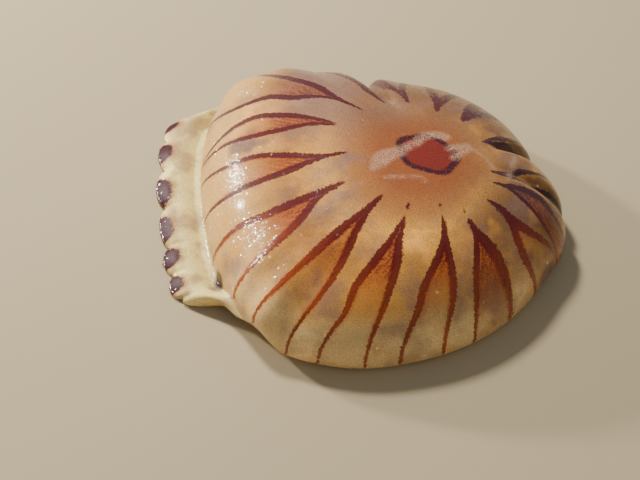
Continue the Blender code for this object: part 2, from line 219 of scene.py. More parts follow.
@dataclass(frozen=True)
class BellShape:
    """Form of the bell as it lies: its plan, its section and its margin."""

    crown: Pair = (0.0341, 0.0017)
    height: float = 0.050
    ribs: int = 16
    first_rib: float = math.radians(-40.0)
    rib_reach_mm: tuple[float, ...] = (
        70, 71, 68, 62, 67, 74, 83, 105, 126, 117, 110, 110, 112, 103, 90, 78)
    rib_turn_deg: tuple[float, ...] = (2, -2, -5, -6, 3, 6, 6, 4, 4, 3, -1, -1, -5, -9, -11, -6)
    rib_turn_at_crown_deg: tuple[float, ...] = (
        -5, -13, -20, -12, 6, 10, 12, 8, 0, -5, -8, -5, -3, 0, 4, -2)
    turn_changes: Pair = (0.35, 0.95)
    plan_roundness: float = 2.6
    shoulder_roundness: float = 2.0
    crown_thickness: float = 0.022
    margin_thickness: float = 0.0045
    lappet_thickness: float = 0.0022
    hinge_length: float = 0.009
    skirt_length: float = 0.0125
    lappet_length: float = 0.007
    lappets: int = 32
    brim_from: float = math.radians(137.0)
    brim_to: float = math.radians(218.5)
    brim_softness: float = math.radians(13.5)
    fold_fullness: float = 0.22
    fold_width: float = math.radians(11.0)
    brim_gather: float = 0.20
    brim_arch: float = 0.0030
    pillow: float = 0.0007
    lappet_fullness: float = 0.34
    least_bend: float = 0.001
    drift_at: tuple[float, ...] = (14.5, 15.5, 16.5, 17.5, 18.5, 19.5, 20.5, 21.5, 22.5, 23.5)
    drift: tuple[float, ...] = (0.0, -0.05, -0.15, -0.35, -0.07, 0.28, 0.58, 0.40, 0.15, 0.0)
    creases: tuple[Crease, ...] = (
        Crease(math.radians(112.0), math.radians(3.2), 0.50, 0.09, 0.38),
        Crease(math.radians(20.0), math.radians(3.2), 0.42, 0.10, 0.45),
        Crease(math.radians(-7.0), math.radians(3.5), 0.20, 0.02, 0.45),
    )
    swellings: tuple[Swelling, ...] = (
        Swelling((-0.0565, -0.0150), 0.010, 0.0011),
        Swelling((-0.0560, 0.0130), 0.011, 0.0007),
        Swelling((-0.0400, -0.0420), 0.012, 0.0007),
    )
    swelling_ends: Pair = (1.05, 0.9)

    @property
    def rib_step(self) -> float:
        """Angle from one rib to the next."""
        return 2.0 * math.pi / self.ribs

    @property
    def brim_half(self) -> float:
        """Half the brim's angle."""
        return 0.5 * (self.brim_to - self.brim_from)

    def rib_position(self, phi: Array) -> Array:
        """Place of a meridian, in ribs."""
        return (phi - self.first_rib) / self.rib_step

    def reach(self, phi: Array) -> Array:
        """Distance from the crown to the widest line of the dome."""
        return around(self.rib_reach_mm, self.rib_position(phi)) * MM

    def plan_angle(self, phi: Array, share: Numbers) -> Array:
        """Direction from the crown of a meridian, at a share of its reach."""
        turns = self.rib_turn_at_crown_deg, self.rib_turn_deg
        inner, outer = (np.radians(around(turn, self.rib_position(phi))) for turn in turns)
        return phi + mix(inner, outer, ease(*self.turn_changes, share))

    def brim_offset(self, angle: Array) -> Array:
        """Angle from the middle of the brim."""
        return wrapped(angle - 0.5 * (self.brim_from + self.brim_to))

    def flare(self, angle: Array) -> Array:
        """How the margin is turned: -1 curled under, +1 turned out as a brim."""
        ends = self.brim_half - self.brim_softness, self.brim_half + self.brim_softness
        return 1.0 - 2.0 * ease(*ends, np.abs(self.brim_offset(angle)))

    def fullness(self, angle: Array) -> Array:
        """Share of the margin's length that is left where it folds over."""
        off = np.abs(np.abs(self.brim_offset(angle)) - self.brim_half)
        return mix(self.fold_fullness, 1.0, ease(0.0, self.fold_width, off))

    def gathered(self, angle: Array, share: Numbers) -> Array:
        """Draw the brim's lappets together towards its middle."""
        off = self.brim_offset(angle)
        fade = 1.0 - ease(self.brim_half, 2.0 * self.brim_half, np.abs(off))
        return angle - off * (self.brim_gather * share * fade)

    def lappet_run(self, phi: Array) -> Array:
        """Place along the margin, in lappets; those of the brim lie a little unevenly."""
        run = self.rib_position(phi) * self.lappets / self.ribs
        return run - np.interp(run, self.drift_at, self.drift)

    def lappet_place(self, phi: Array) -> Array:
        """Place across a lappet: 0 in one cleft, 1 in the next."""
        return self.lappet_run(phi) % 1.0

    def lappet(self, phi: Array) -> Array:
        """Outline of the margin: 0 in a cleft, 1 at a lappet's end."""
        f = self.lappet_place(phi)
        return np.maximum(0.0, 1.0 - (2.0 * f - 1.0) ** 2) ** self.lappet_fullness

    def crease(self, angle: Array, share: Array) -> tuple[Array, Array]:
        """Press of the creases.

        Args:
            angle: directions from the crown.
            share: distance from the crown as a share of the reach.

        Returns:
            What the height and the radius are multiplied by.
        """
        sink = np.ones(np.shape(angle))
        indent = np.ones(np.shape(angle))
        for fold in self.creases:
            across = wrapped(angle - fold.direction) / fold.width
            g = np.exp(-(across**2)) * ease(fold.start, 1.0, share)
            sink = sink * (1.0 - fold.sink * g)
            indent = indent * (1.0 - fold.indent * g)
        return sink, indent

    def margin(self, phi: Array) -> tuple[Array, Array, Array]:
        """Run of the margin.

        Args:
            phi: meridians.

        Returns:
            Its turn, its length and how far it lifts the dome, on each meridian.
        """
        angle = self.flare(self.plan_angle(phi, 1.0)) * 0.5 * math.pi
        angle = np.where(np.abs(angle) < self.least_bend, self.least_bend, angle)
        full = self.fullness(self.plan_angle(phi, 1.0))
        length = (self.skirt_length + self.lappet_length * self.lappet(phi)) * full
        lift = (
            self.hinge_length * np.sin(angle) / angle
            + (self.skirt_length + self.lappet_length) * full * np.cos(angle)
            + 0.5 * self.margin_thickness
        )
        return angle, length, lift

    def on_dome(self, phi: Array, a: float, depth: float) -> tuple[Array, Array]:
        """Radius and height on the dome.

        Args:
            phi: meridians.
            a: angle down from the crown, 0 to a right angle.
            depth: 0 on the outside, 1 on the inside.

        Returns:
            Radius and height on each meridian.
        """
        lift = self.margin(phi)[2]
        width = self.reach(phi) - depth * self.margin_thickness
        rise = self.height - depth * self.crown_thickness - lift
        radius = width * math.sin(a) ** (2.0 / self.plan_roundness)
        height = lift + rise * max(math.cos(a), 0.0) ** (2.0 / self.shoulder_roundness)
        return radius, height

    def on_margin(self, phi: Array, run: Array,
                  depth: float) -> tuple[Array, Array]:
        """Radius and height on the margin.

        Args:
            phi: meridians.
            run: 0 to 1 over the hinge, 1 to 2 down to the lappets' ends.
            depth: 0 on the outside, 1 on the inside.

        Returns:
            Radius and height on each meridian.
        """
        angle, length, lift = self.margin(phi)
        bend = angle * np.minimum(run, 1.0)
        curve = self.hinge_length / angle
        radius = self.reach(phi) - 0.5 * self.margin_thickness + curve * (1.0 - np.cos(bend))
        height = lift - curve * np.sin(bend)
        along = np.maximum(run - 1.0, 0.0)
        thickness = mix(self.margin_thickness, self.lappet_thickness, along)
        radius = radius + np.sin(angle) * length * along
        height = height - np.cos(angle) * length * along
        height = height - np.abs(np.sin(angle)) * 0.5 * (self.margin_thickness - thickness)
        brim = np.maximum(self.flare(self.plan_angle(phi, 1.0)), 0.0)
        bow = np.sin(math.pi * np.minimum(along, 1.0))
        height = height + self.brim_arch * brim * bow
        side = 0.5 - depth
        radius = radius + np.cos(bend) * thickness * side
        height = height + np.sin(bend) * thickness * side
        puff = self.pillow * brim * self.lappet(phi) * bow
        return radius, height + puff * (1.0 - depth)

    def place(self, phi: Array, radius: Array, height: Array,
              run: Array) -> Array:
        """World places of section points, with the creases pressed in.

        Args:
            phi: meridians.
            radius: distance from the crown.
            height: height above the floor.
            run: place on the margin, or 0 on the dome.

        Returns:
            Points, one to a row.
        """
        share = np.minimum(radius / self.reach(phi), 1.0)
        angle = self.plan_angle(phi, share)
        sink, indent = self.crease(angle, share)
        angle = self.gathered(angle, np.minimum(run, 2.0) / 2.0)
        radius = radius * indent
        x = self.crown[0] + radius * np.cos(angle)
        y = self.crown[1] + radius * np.sin(angle)
        for swelling in self.swellings:
            away = np.hypot(x - swelling.middle[0], y - swelling.middle[1]) / swelling.radius
            height = height + swelling.rise * np.exp(-(away**2)) * ease(*self.swelling_ends, share)
        return np.stack([x, y, np.maximum(height * sink, 0.0)], -1)

    def spot(self, phi: float, run: float, depth: float) -> Array:
        """World place of one point on the margin, with run and depth as in on_margin."""
        one, along = np.array([phi]), np.array([run])
        return self.place(one, *self.on_margin(one, along, depth), along)[0]


# ---- the V marks -------------------------------------------------------------

CURVE_POINTS = 81

@dataclass(frozen=True)
class VMark:
    """One V mark, on one rib.

    Its tip is a share of the reach. Its legs are their distances from the rib in mm, evenly
    spaced from tip to margin, and its weights how much thicker than usual each leg is. The
    stain between the legs has a strength and ends at a share of the mark.
    """

    tip: float
    left: tuple[float, ...]
    right: tuple[float, ...]
    weights: Pair = (1.0, 1.0)
    dashed: bool = False
    stain: float = 0.8
    stain_end: float = 0.65

    def curve(self, offsets: tuple[float, ...], along: Array) -> Array:
        """Read how far a leg runs from the rib.

        Args:
            offsets: the leg's offsets in mm, evenly spaced from the mark's tip to the margin.
            along: places along the mark, 0 at its tip and 1 at the margin.

        Returns:
            The offset in mm at each place.
        """
        steps = np.linspace(0.0, 1.0, len(offsets))
        smooth = spline(np.stack([steps, np.array(offsets)], 1), CURVE_POINTS)
        return np.interp(along, smooth[:, 0], smooth[:, 1])


@dataclass(frozen=True)
class VMarks:
    """The sixteen brown V marks, in the order of the ribs."""

    marks: tuple[VMark, ...] = (
        VMark(0.51, (0.9, 1.5, -0.9, -5.2, -7.6, -7.0), (0.9, 1.5, 0.2, 2.0, 6.2, 14.5), (1.1, 1.5),
              stain=0.6, stain_end=0.60),
        VMark(0.46, (3.3, 3.9, -0.5, -5.8, -10.9, -13.0), (3.3, 6.1, 7.8, 6.2, 1.9, 0.0),
              (0.8, 1.35),
              stain=0.9, stain_end=1.1),
        VMark(0.44, (0.0, -1.3, -2.8, -3.8, -4.9, -6.0), (0.0, 0.8, 3.4, 3.8, 4.2, 4.6), (0.7, 0.7),
              stain=0.0),
        VMark(0.47, (2.7, 2.3, 2.0, 0.9, -0.6, -2.0), (2.7, 3.8, 4.3, 4.6, 5.2, 6.0), (0.55, 0.5),
              stain=0.0),
        VMark(0.47, (0.5, 0.6, 0.2, -2.3, -3.6, -5.0), (0.5, 1.8, 3.7, 5.4, 6.8, 8.0), (1.3, 1.3)),
        VMark(0.44, (-0.8, -0.9, -2.5, -4.8, -7.1, -9.0), (-0.8, 0.2, 3.3, 7.0, 9.7, 11.0),
              (1.2, 1.2)),
        VMark(0.50, (-3.2, -2.6, -2.5, -4.0, -6.0, -8.0), (-3.2, -1.5, 3.0, 6.5, 9.0, 11.0),
              (0.9, 1.1)),
        VMark(0.46, (-8.5, -8.0, -9.0, -11.1, -13.0, -15.0), (-8.5, -6.0, -6.0, -2.3, 4.1, 8.0),
              (0.9, 1.1)),
        VMark(0.38, (-7.5, -7.3, -10.9, -11.2, -11.8, -13.0), (-7.5, -4.6, 4.3, 7.7, 17.1, 23.5),
              (1.4, 1.0)),
        VMark(0.41, (-6.2, -9.0, -11.7, -13.8, -8.7, 3.0), (-5.5, -4.2, -0.7, 0.3, 0.1, 5.0)),
        VMark(0.36, (-2.0, -1.3, -7.2, -15.0, -19.8, -25.0), (-2.0, 0.4, 3.5, 3.1, 2.0, 0.5),
              (1.1, 1.1)),
        VMark(0.39, (-1.6, -2.5, -4.9, -9.0, -15.4, -17.5), (-1.6, -1.0, 5.9, 10.3, 11.7, 14.8),
              (1.15, 1.4)),
        VMark(0.29, (-0.6, -0.6, -1.6, -1.9, -3.4, -7.5), (-0.6, 1.3, 6.8, 13.5, 17.4, 16.0),
              (1.2, 1.0),
              stain=0.62, stain_end=0.70),
        VMark(0.38, (-1.4, -2.5, -3.8, -4.5, -2.3, -8.5), (-1.4, 0.7, 5.7, 11.5, 16.2, 16.0),
              (1.05, 1.1), True,
              stain=0.85, stain_end=0.72),
        VMark(0.40, (-1.3, -0.2, -0.5, -1.5, -0.6, -5.5), (-1.3, 0.3, 5.2, 11.1, 14.3, 12.7),
              (1.15, 1.0), True,
              stain=0.95, stain_end=0.72),
        VMark(0.50, (-0.5, 0.2, -1.6, -4.0, -5.5, -7.7), (-0.5, 1.1, 4.1, 6.6, 7.7, 8.0),
              (0.8, 1.35), True,
              stain=0.85, stain_end=0.95),
    )
    profile_at: tuple[float, ...] = (0.0, 0.04, 0.12, 0.25, 0.40, 0.65, 0.85, 1.0, 1.08)
    half_width_mm: tuple[float, ...] = (0.3, 0.8, 1.1, 1.6, 2.0, 1.75, 1.3, 0.8, 0.0)
    dash_at: tuple[float, ...] = (-0.13, -0.115, -0.08, -0.065)
    dash_mm: tuple[float, ...] = (0.0, 0.55, 0.55, 0.0)
    least_share: float = 0.3

    def place(self, rib: int, share: Array) -> Array:
        """Place along one mark, 0 at its tip and 1 at the margin."""
        tip = self.marks[rib].tip
        return (share - tip) / (1.0 - tip)

    def nearest(self, shape: BellShape, phi: Array, share: Array) -> Array:
        """Number of the mark whose middle is nearest.

        Args:
            shape: form of the bell.
            phi: meridians.
            share: distance from the crown as a share of the reach.

        Returns:
            The mark's number at each place.
        """
        gaps = []
        for rib, mark in enumerate(self.marks):
            along = self.place(rib, share)
            middle = 0.5 * (mark.curve(mark.left, along) + mark.curve(mark.right, along)) * MM
            own = shape.first_rib + rib * shape.rib_step
            reach = float(shape.reach(np.array([own]))[0])
            turn = middle / (reach * np.clip(share, self.least_share, 1.0))
            gaps.append(np.abs(wrapped(phi - own - turn)))
        return np.argmin(np.stack(gaps), 0)

    def legs(self, shape: BellShape, rib: Array, phi: Array,
             share: Array) -> tuple[Array, ...]:
        """Distances that the bell's finish draws the marks from.

        Args:
            shape: form of the bell.
            rib: number of the mark at each place.
            phi: meridians.
            share: distance from the crown as a share of the reach.

        Returns:
            Signed distances from the two legs and half their width, in mm, the place
            along the mark, 0 at its tip and 1 at the margin, and the stain between
            the legs, as its strength and its end.
        """
        left, right, width, run, stain, stain_end = (np.zeros(len(phi)) for _ in range(6))
        for number, mark in enumerate(self.marks):
            here = rib == number
            along = self.place(number, share[here])
            own = shape.first_rib + number * shape.rib_step
            reach = float(shape.reach(np.array([own]))[0])
            across = wrapped(phi[here] - own) * reach * np.minimum(share[here], 1.0) / MM
            left[here] = (across - mark.curve(mark.left, along)) / mark.weights[0]
            right[here] = (across - mark.curve(mark.right, along)) / mark.weights[1]
            half = np.interp(along, self.profile_at, self.half_width_mm, left=0.0)
            if mark.dashed:
                half = np.maximum(half, np.interp(along, self.dash_at, self.dash_mm))
            width[here] = half
            run[here] = along
            stain[here] = mark.stain
            stain_end[here] = mark.stain_end
        return left, right, width, run, stain, stain_end


# ---- shader building ---------------------------------------------------------


@dataclass(frozen=True)
class Fade:
    """A smooth change from one strength to another, between two levels that may fall."""

    start: float
    end: float
    to: Pair = (0.0, 1.0)


class Graph:
    """Short way to add and link the nodes of one material."""

    def __init__(self, name: str) -> None:
        """Start an empty material.

        Args:
            name: the material's name.
        """
        self.material = bpy.data.materials.new(name)
        self.material.use_nodes = True
        self.tree = self.material.node_tree
        self.tree.nodes.clear()

    def feed(self, node: bpy.types.Node, inputs: dict[str | int, object]) -> None:
        """Link or set inputs of a node.

        Args:
            node: the node.
            inputs: by name or number, a socket, a value, or None to leave it alone.
        """
        for key, value in inputs.items():
            if isinstance(value, Socket):
                self.tree.links.new(value, node.inputs[key])
            elif value is not None:
                node.inputs[key].default_value = value

    def node(self, kind: str, inputs: dict[str | int, object],
             **settings: object) -> bpy.types.Node:
        """Add a node.

        Args:
            kind: the node's type, without its ShaderNode prefix.
            inputs: what it is fed.
            settings: its properties.

        Returns:
            The new node.
        """
        node = self.tree.nodes.new("ShaderNode" + kind)
        for key, value in settings.items():
            setattr(node, key, value)
        self.feed(node, inputs)
        return node

    def finish(self, surface: bpy.types.Node) -> bpy.types.Material:
        """Give the material its surface."""
        self.node("OutputMaterial", {"Surface": surface.outputs[0]})
        return self.material

    def math(self, operation: str, *values: object) -> Socket:
        """Arithmetic on one to three values."""
        return self.node("Math", dict(enumerate(values)), operation=operation).outputs[0]

    def times(self, *values: object) -> Socket:
        """Product of several values."""
        return functools.reduce(lambda a, b: self.math("MULTIPLY", a, b), values)

    def larger(self, a: object, b: object) -> Socket:
        """The larger of two values."""
        return self.math("MAXIMUM", a, b)

    def plus_scaled(self, value: object, scale: object, base: object) -> Socket:
        """A value times a scale, plus a base."""
        return self.math("MULTIPLY_ADD", value, scale, base)

    def step(self, value: object, fade: Fade) -> Socket:
        """Read a smooth step.

        Args:
            value: where to read it.
            fade: its levels and strengths.

        Returns:
            The strength.
        """
        low, high, to = fade.start, fade.end, fade.to
        if high < low:
            low, high, to = high, low, to[::-1]
        inputs = {"Value": value, "From Min": low, "From Max": high,
                  "To Min": to[0], "To Max": to[1]}
        return self.node("MapRange", inputs, interpolation_type="SMOOTHSTEP").outputs[0]

    def blend(self, share: object, a: object, b: object, label: str = "") -> Socket:
        """Mix two colours: the first at a share of 0, the second at 1."""
        return self.node("Mix", {0: share, 6: a, 7: b}, data_type="RGBA", label=label).outputs[2]

    def ramp(self, value: object, stops: tuple[tuple[float, Paint], ...]) -> Socket:
        """Colour by position.

        Args:
            value: the position.
            stops: pairs of place and colour.

        Returns:
            The colour.
        """
        node = self.node("ValToRGB", {0: value})
        elements = node.color_ramp.elements
        for _ in stops[2:]:
            elements.new(0.5)
        for element, (place, colour) in zip(elements, stops):
            element.position = place
            element.color = colour
        return node.outputs[0]

    def noise(self, scale: float, vector: object, detail: float = 2.0,
              roughness: float = 0.5) -> Socket:
        """Soft noise, 0 to 1; its scale is per unit of the vector."""
        inputs = {"Vector": vector, "Scale": scale, "Detail": detail, "Roughness": roughness}
        return self.node("TexNoise", inputs).outputs[0]

    def cells(self, scale: float, vector: object, randomness: float = 1.0) -> Socket:
        """Distance from the nearest of scattered points."""
        inputs = {"Vector": vector, "Scale": scale, "Randomness": randomness}
        return self.node("TexVoronoi", inputs).outputs["Distance"]

    def parts(self, vector: Socket) -> tuple[Socket, ...]:
        """The three numbers of a vector."""
        return tuple(self.node("SeparateXYZ", {0: vector}).outputs)

    def attribute(self, name: str) -> tuple[Socket, ...]:
        """The three numbers of a vector that the mesh carries."""
        return self.parts(self.node("Attribute", {}, attribute_name=name).outputs["Vector"])

    def vector(self, *values: object) -> Socket:
        """A vector of three values."""
        return self.node("CombineXYZ", dict(enumerate(values))).outputs[0]

    def vector_math(self, operation: str, a: object, b: object = None) -> Socket:
        """Arithmetic on vectors; SCALE takes a number for b."""
        inputs = {0: a, ("Scale" if operation == "SCALE" else 1): b}
        result = "Value" if operation in ("DOT_PRODUCT", "DISTANCE") else "Vector"
        return self.node("VectorMath", inputs, operation=operation).outputs[result]

    def spread(self, noise: bpy.types.Node) -> Socket:
        """A noise's colour as a vector about 0."""
        return self.vector_math("SUBTRACT", noise.outputs["Color"], (0.5, 0.5, 0.5))

    def shifted(self, vector: object, distance: float) -> Socket:
        """Move a vector, so that one noise doesn't follow another."""
        return self.vector_math("ADD", vector, (distance, distance, distance))

    def place_mm(self) -> Socket:
        """Place on the object, in millimetres."""
        return self.vector_math("SCALE", self.node("TexCoord", {}).outputs["Object"], 1.0 / MM)


# ---- finishes ----------------------------------------------------------------


@dataclass(frozen=True)
class WetJelly:
    """Wet jelly: soft scatter under a clear glossy coat of water."""

    name: str = "wet_jelly"
    body: Paint = paint(190, 160, 130)
    roughness: float = 0.45
    refraction: float = 1.36
    gloss: float = 0.25
    coat: float = 0.85
    coat_roughness: float = 0.14
    coat_refraction: float = 1.34
    scatter: float = 0.10
    scatter_colour: Triple = (1.0, 0.45, 0.22)
    scatter_depth: float = 3.0 * MM
    bump: float = 0.35
    bump_depth: float = 0.25 * MM
    grain_scale: float = 0.9
    film_faces: float = 1.3
    film_lean: float = 0.75

    def colour(self, graph: Graph) -> Socket:
        """Colour of the surface."""
        return graph.blend(0.0, self.body, self.body)

    def grain(self, graph: Graph) -> Socket:
        """Height of the fine surface, 0 to 1."""
        return graph.noise(self.grain_scale, graph.place_mm(), 3.0)

    def clearness(self, graph: Graph) -> Socket | None:
        """Share of light that passes, where the jelly is clear."""
        return None

    def level(self, graph: Graph) -> Socket | None:
        """How far the water film lies level, whatever the jelly under it does."""
        return None

    def ruffle(self, graph: Graph) -> Socket | float:
        """How much of its lean the film keeps."""
        return 1.0

    def film_normal(self, graph: Graph, normal: Socket) -> Socket:
        """Break the water film into small faces that each lean a little their own way.

        Args:
            graph: the material being built.
            normal: normal of the jelly under the film.

        Returns:
            The film's normal.
        """
        faces = graph.node("TexVoronoi", {"Vector": graph.place_mm(), "Scale": self.film_faces})
        lean = graph.spread(faces)
        steepness = graph.vector_math("DOT_PRODUCT", lean, lean)
        strength = graph.times(steepness, self.film_lean, self.ruffle(graph))
        lean = graph.vector_math("SCALE", lean, strength)
        level = self.level(graph)
        if level is not None:
            normal = graph.vector_math("ADD", normal, graph.vector(0.0, 0.0, level))
            normal = graph.vector_math("NORMALIZE", normal)
        return graph.vector_math("NORMALIZE", graph.vector_math("ADD", normal, lean))

    def material(self) -> bpy.types.Material:
        """Build the finish.

        Returns:
            The material, with its colour and grain from nodes.
        """
        graph = Graph(self.name)
        bump = graph.node("Bump", {"Strength": self.bump, "Distance": self.bump_depth,
                                   "Height": self.grain(graph)})
        shader = graph.node("BsdfPrincipled", {
            "Base Color": self.colour(graph),
            "Roughness": self.roughness,
            "IOR": self.refraction,
            "Specular IOR Level": self.gloss,
            "Coat Weight": self.coat,
            "Coat Roughness": self.coat_roughness,
            "Coat IOR": self.coat_refraction,
            "Coat Normal": self.film_normal(graph, bump.outputs[0]),
            "Normal": bump.outputs[0],
            "Transmission Weight": self.clearness(graph),
            "Subsurface Weight": self.scatter,
            "Subsurface Radius": self.scatter_colour,
            "Subsurface Scale": self.scatter_depth,
        })
        return graph.finish(shader)


@dataclass(frozen=True)
class ArmJelly(WetJelly):
    """Milky jelly of the mouth and its arms, browner at the frilled edges."""

    name: str = "oral_arm_jelly"
    body: Paint = paint(212, 184, 152)
    edge: Paint = paint(166, 112, 82)
    edge_from: Fade = Fade(0.45, 1.0)
    mottle: Paint = paint(184, 140, 108)
    mottle_scale: float = 0.6
    mottle_from: Fade = Fade(0.5, 0.75, (0.0, 0.4))

    def colour(self, graph: Graph) -> Socket:
        """Colour of the surface.

        Args:
            graph: the material being built.

        Returns:
            The colour, browner toward the edges and mottled.
        """
        toward_edge = graph.step(graph.attribute("frill")[0], self.edge_from)
        tone = graph.blend(toward_edge, self.body, self.edge)
        mottle = graph.noise(self.mottle_scale, graph.place_mm(), 3.0, 0.6)
        return graph.blend(graph.step(mottle, self.mottle_from), tone, self.mottle)


@dataclass(frozen=True)
class TentacleJelly(WetJelly):
    """Red-brown jelly of the tentacles, darker in bands of sting cells."""

    name: str = "tentacle_jelly"
    body: Paint = paint(150, 84, 58)
    band: Paint = paint(104, 46, 36)
    band_scale: float = 1.4
    band_from: Fade = Fade(0.45, 0.2)

    def colour(self, graph: Graph) -> Socket:
        """Colour of the surface."""
        clusters = graph.cells(self.band_scale, graph.place_mm())
        return graph.blend(graph.step(clusters, self.band_from), self.body, self.band)


@dataclass(frozen=True)
class SenseJelly(WetJelly):
    """Amber jelly of the sense organs in the clefts."""

    name: str = "crown_jelly"
    body: Paint = paint(170, 112, 60)
    speck: Paint = paint(120, 66, 40)
    speck_scale: float = 2.2
    speck_from: Fade = Fade(0.45, 0.7)

    def colour(self, graph: Graph) -> Socket:
        """Colour of the surface."""
        speck = graph.noise(self.speck_scale, graph.place_mm(), 2.0)
        return graph.blend(graph.step(speck, self.speck_from), self.body, self.speck)


@dataclass(frozen=True)
class FloorFinish:
    """Plain pale floor, dull."""

    name: str = "pale_floor"
    tone: Paint = paint(176, 160, 128)
    roughness: float = 0.9

    def material(self) -> bpy.types.Material:
        """Build the finish."""
        graph = Graph(self.name)
        inputs = {"Base Color": self.tone, "Roughness": self.roughness}
        return graph.finish(graph.node("BsdfPrincipled", inputs))


MAUVE = paint(128, 96, 82)
LIT_EDGE = paint(232, 194, 128)
# Tone of painted light: the pale specks and the hem's rim highlight.
PAINTED_LIGHT_TONE = paint(255, 226, 160)
LEG_END = paint(156, 64, 16)
LAPPET_TIP = paint(58, 10, 26)


def by(reading: str, start: float, end: float, *to: float) -> tuple[str, Fade]:
    """Pair a fade with the name of the reading it is for."""
    return reading, Fade(start, end, to or (0.0, 1.0))


@dataclass(frozen=True)
class Coat:
    """A coat of one colour, as thick as the product of its fades.

    The coats in over are laid on its colour first.
    """

    name: str
    tone: Paint
    fades: tuple[tuple[str, Fade], ...]
    over: tuple["Coat", ...] = ()


@dataclass(frozen=True)
class Canvas:
    """What the coats are drawn from: a material's graph and its readings, by name."""

    graph: Graph
    read: dict[str, Socket]

    def cover(self, *fades: tuple[str, Fade]) -> Socket:
        """Product of fades, each of the reading that it names."""
        return self.graph.times(*(self.graph.step(self.read[name], fade) for name, fade in fades))

    def lay(self, coats: tuple[Coat, ...], tone: object) -> object:
        """Lay coats of colour.

        Args:
            coats: the coats, the lowest first.
            tone: the colour under them.

        Returns:
            The colour, coat over coat.
        """
        for coat in coats:
            colour = self.lay(coat.over, coat.tone)
            tone = self.graph.blend(self.cover(*coat.fades), tone, colour, coat.name)
        return tone


@dataclass(frozen=True)
class Cloud:
    """A soft place painted lighter or darker than the rest: lighter ones are painted light, darker
    ones blend toward mauve and are partly painted shade.
    """

    middle_mm: Pair
    radius_mm: float
    strength: float

    def share(self, graph: Graph, flat: Socket) -> Socket:
        """How far a flat place lies within the cloud, up to the cloud's strength."""
        edge = Fade(self.radius_mm * 1.3, self.radius_mm * 0.2, (0.0, self.strength))
        return graph.step(graph.vector_math("DISTANCE", flat, (*self.middle_mm, 0.0)), edge)


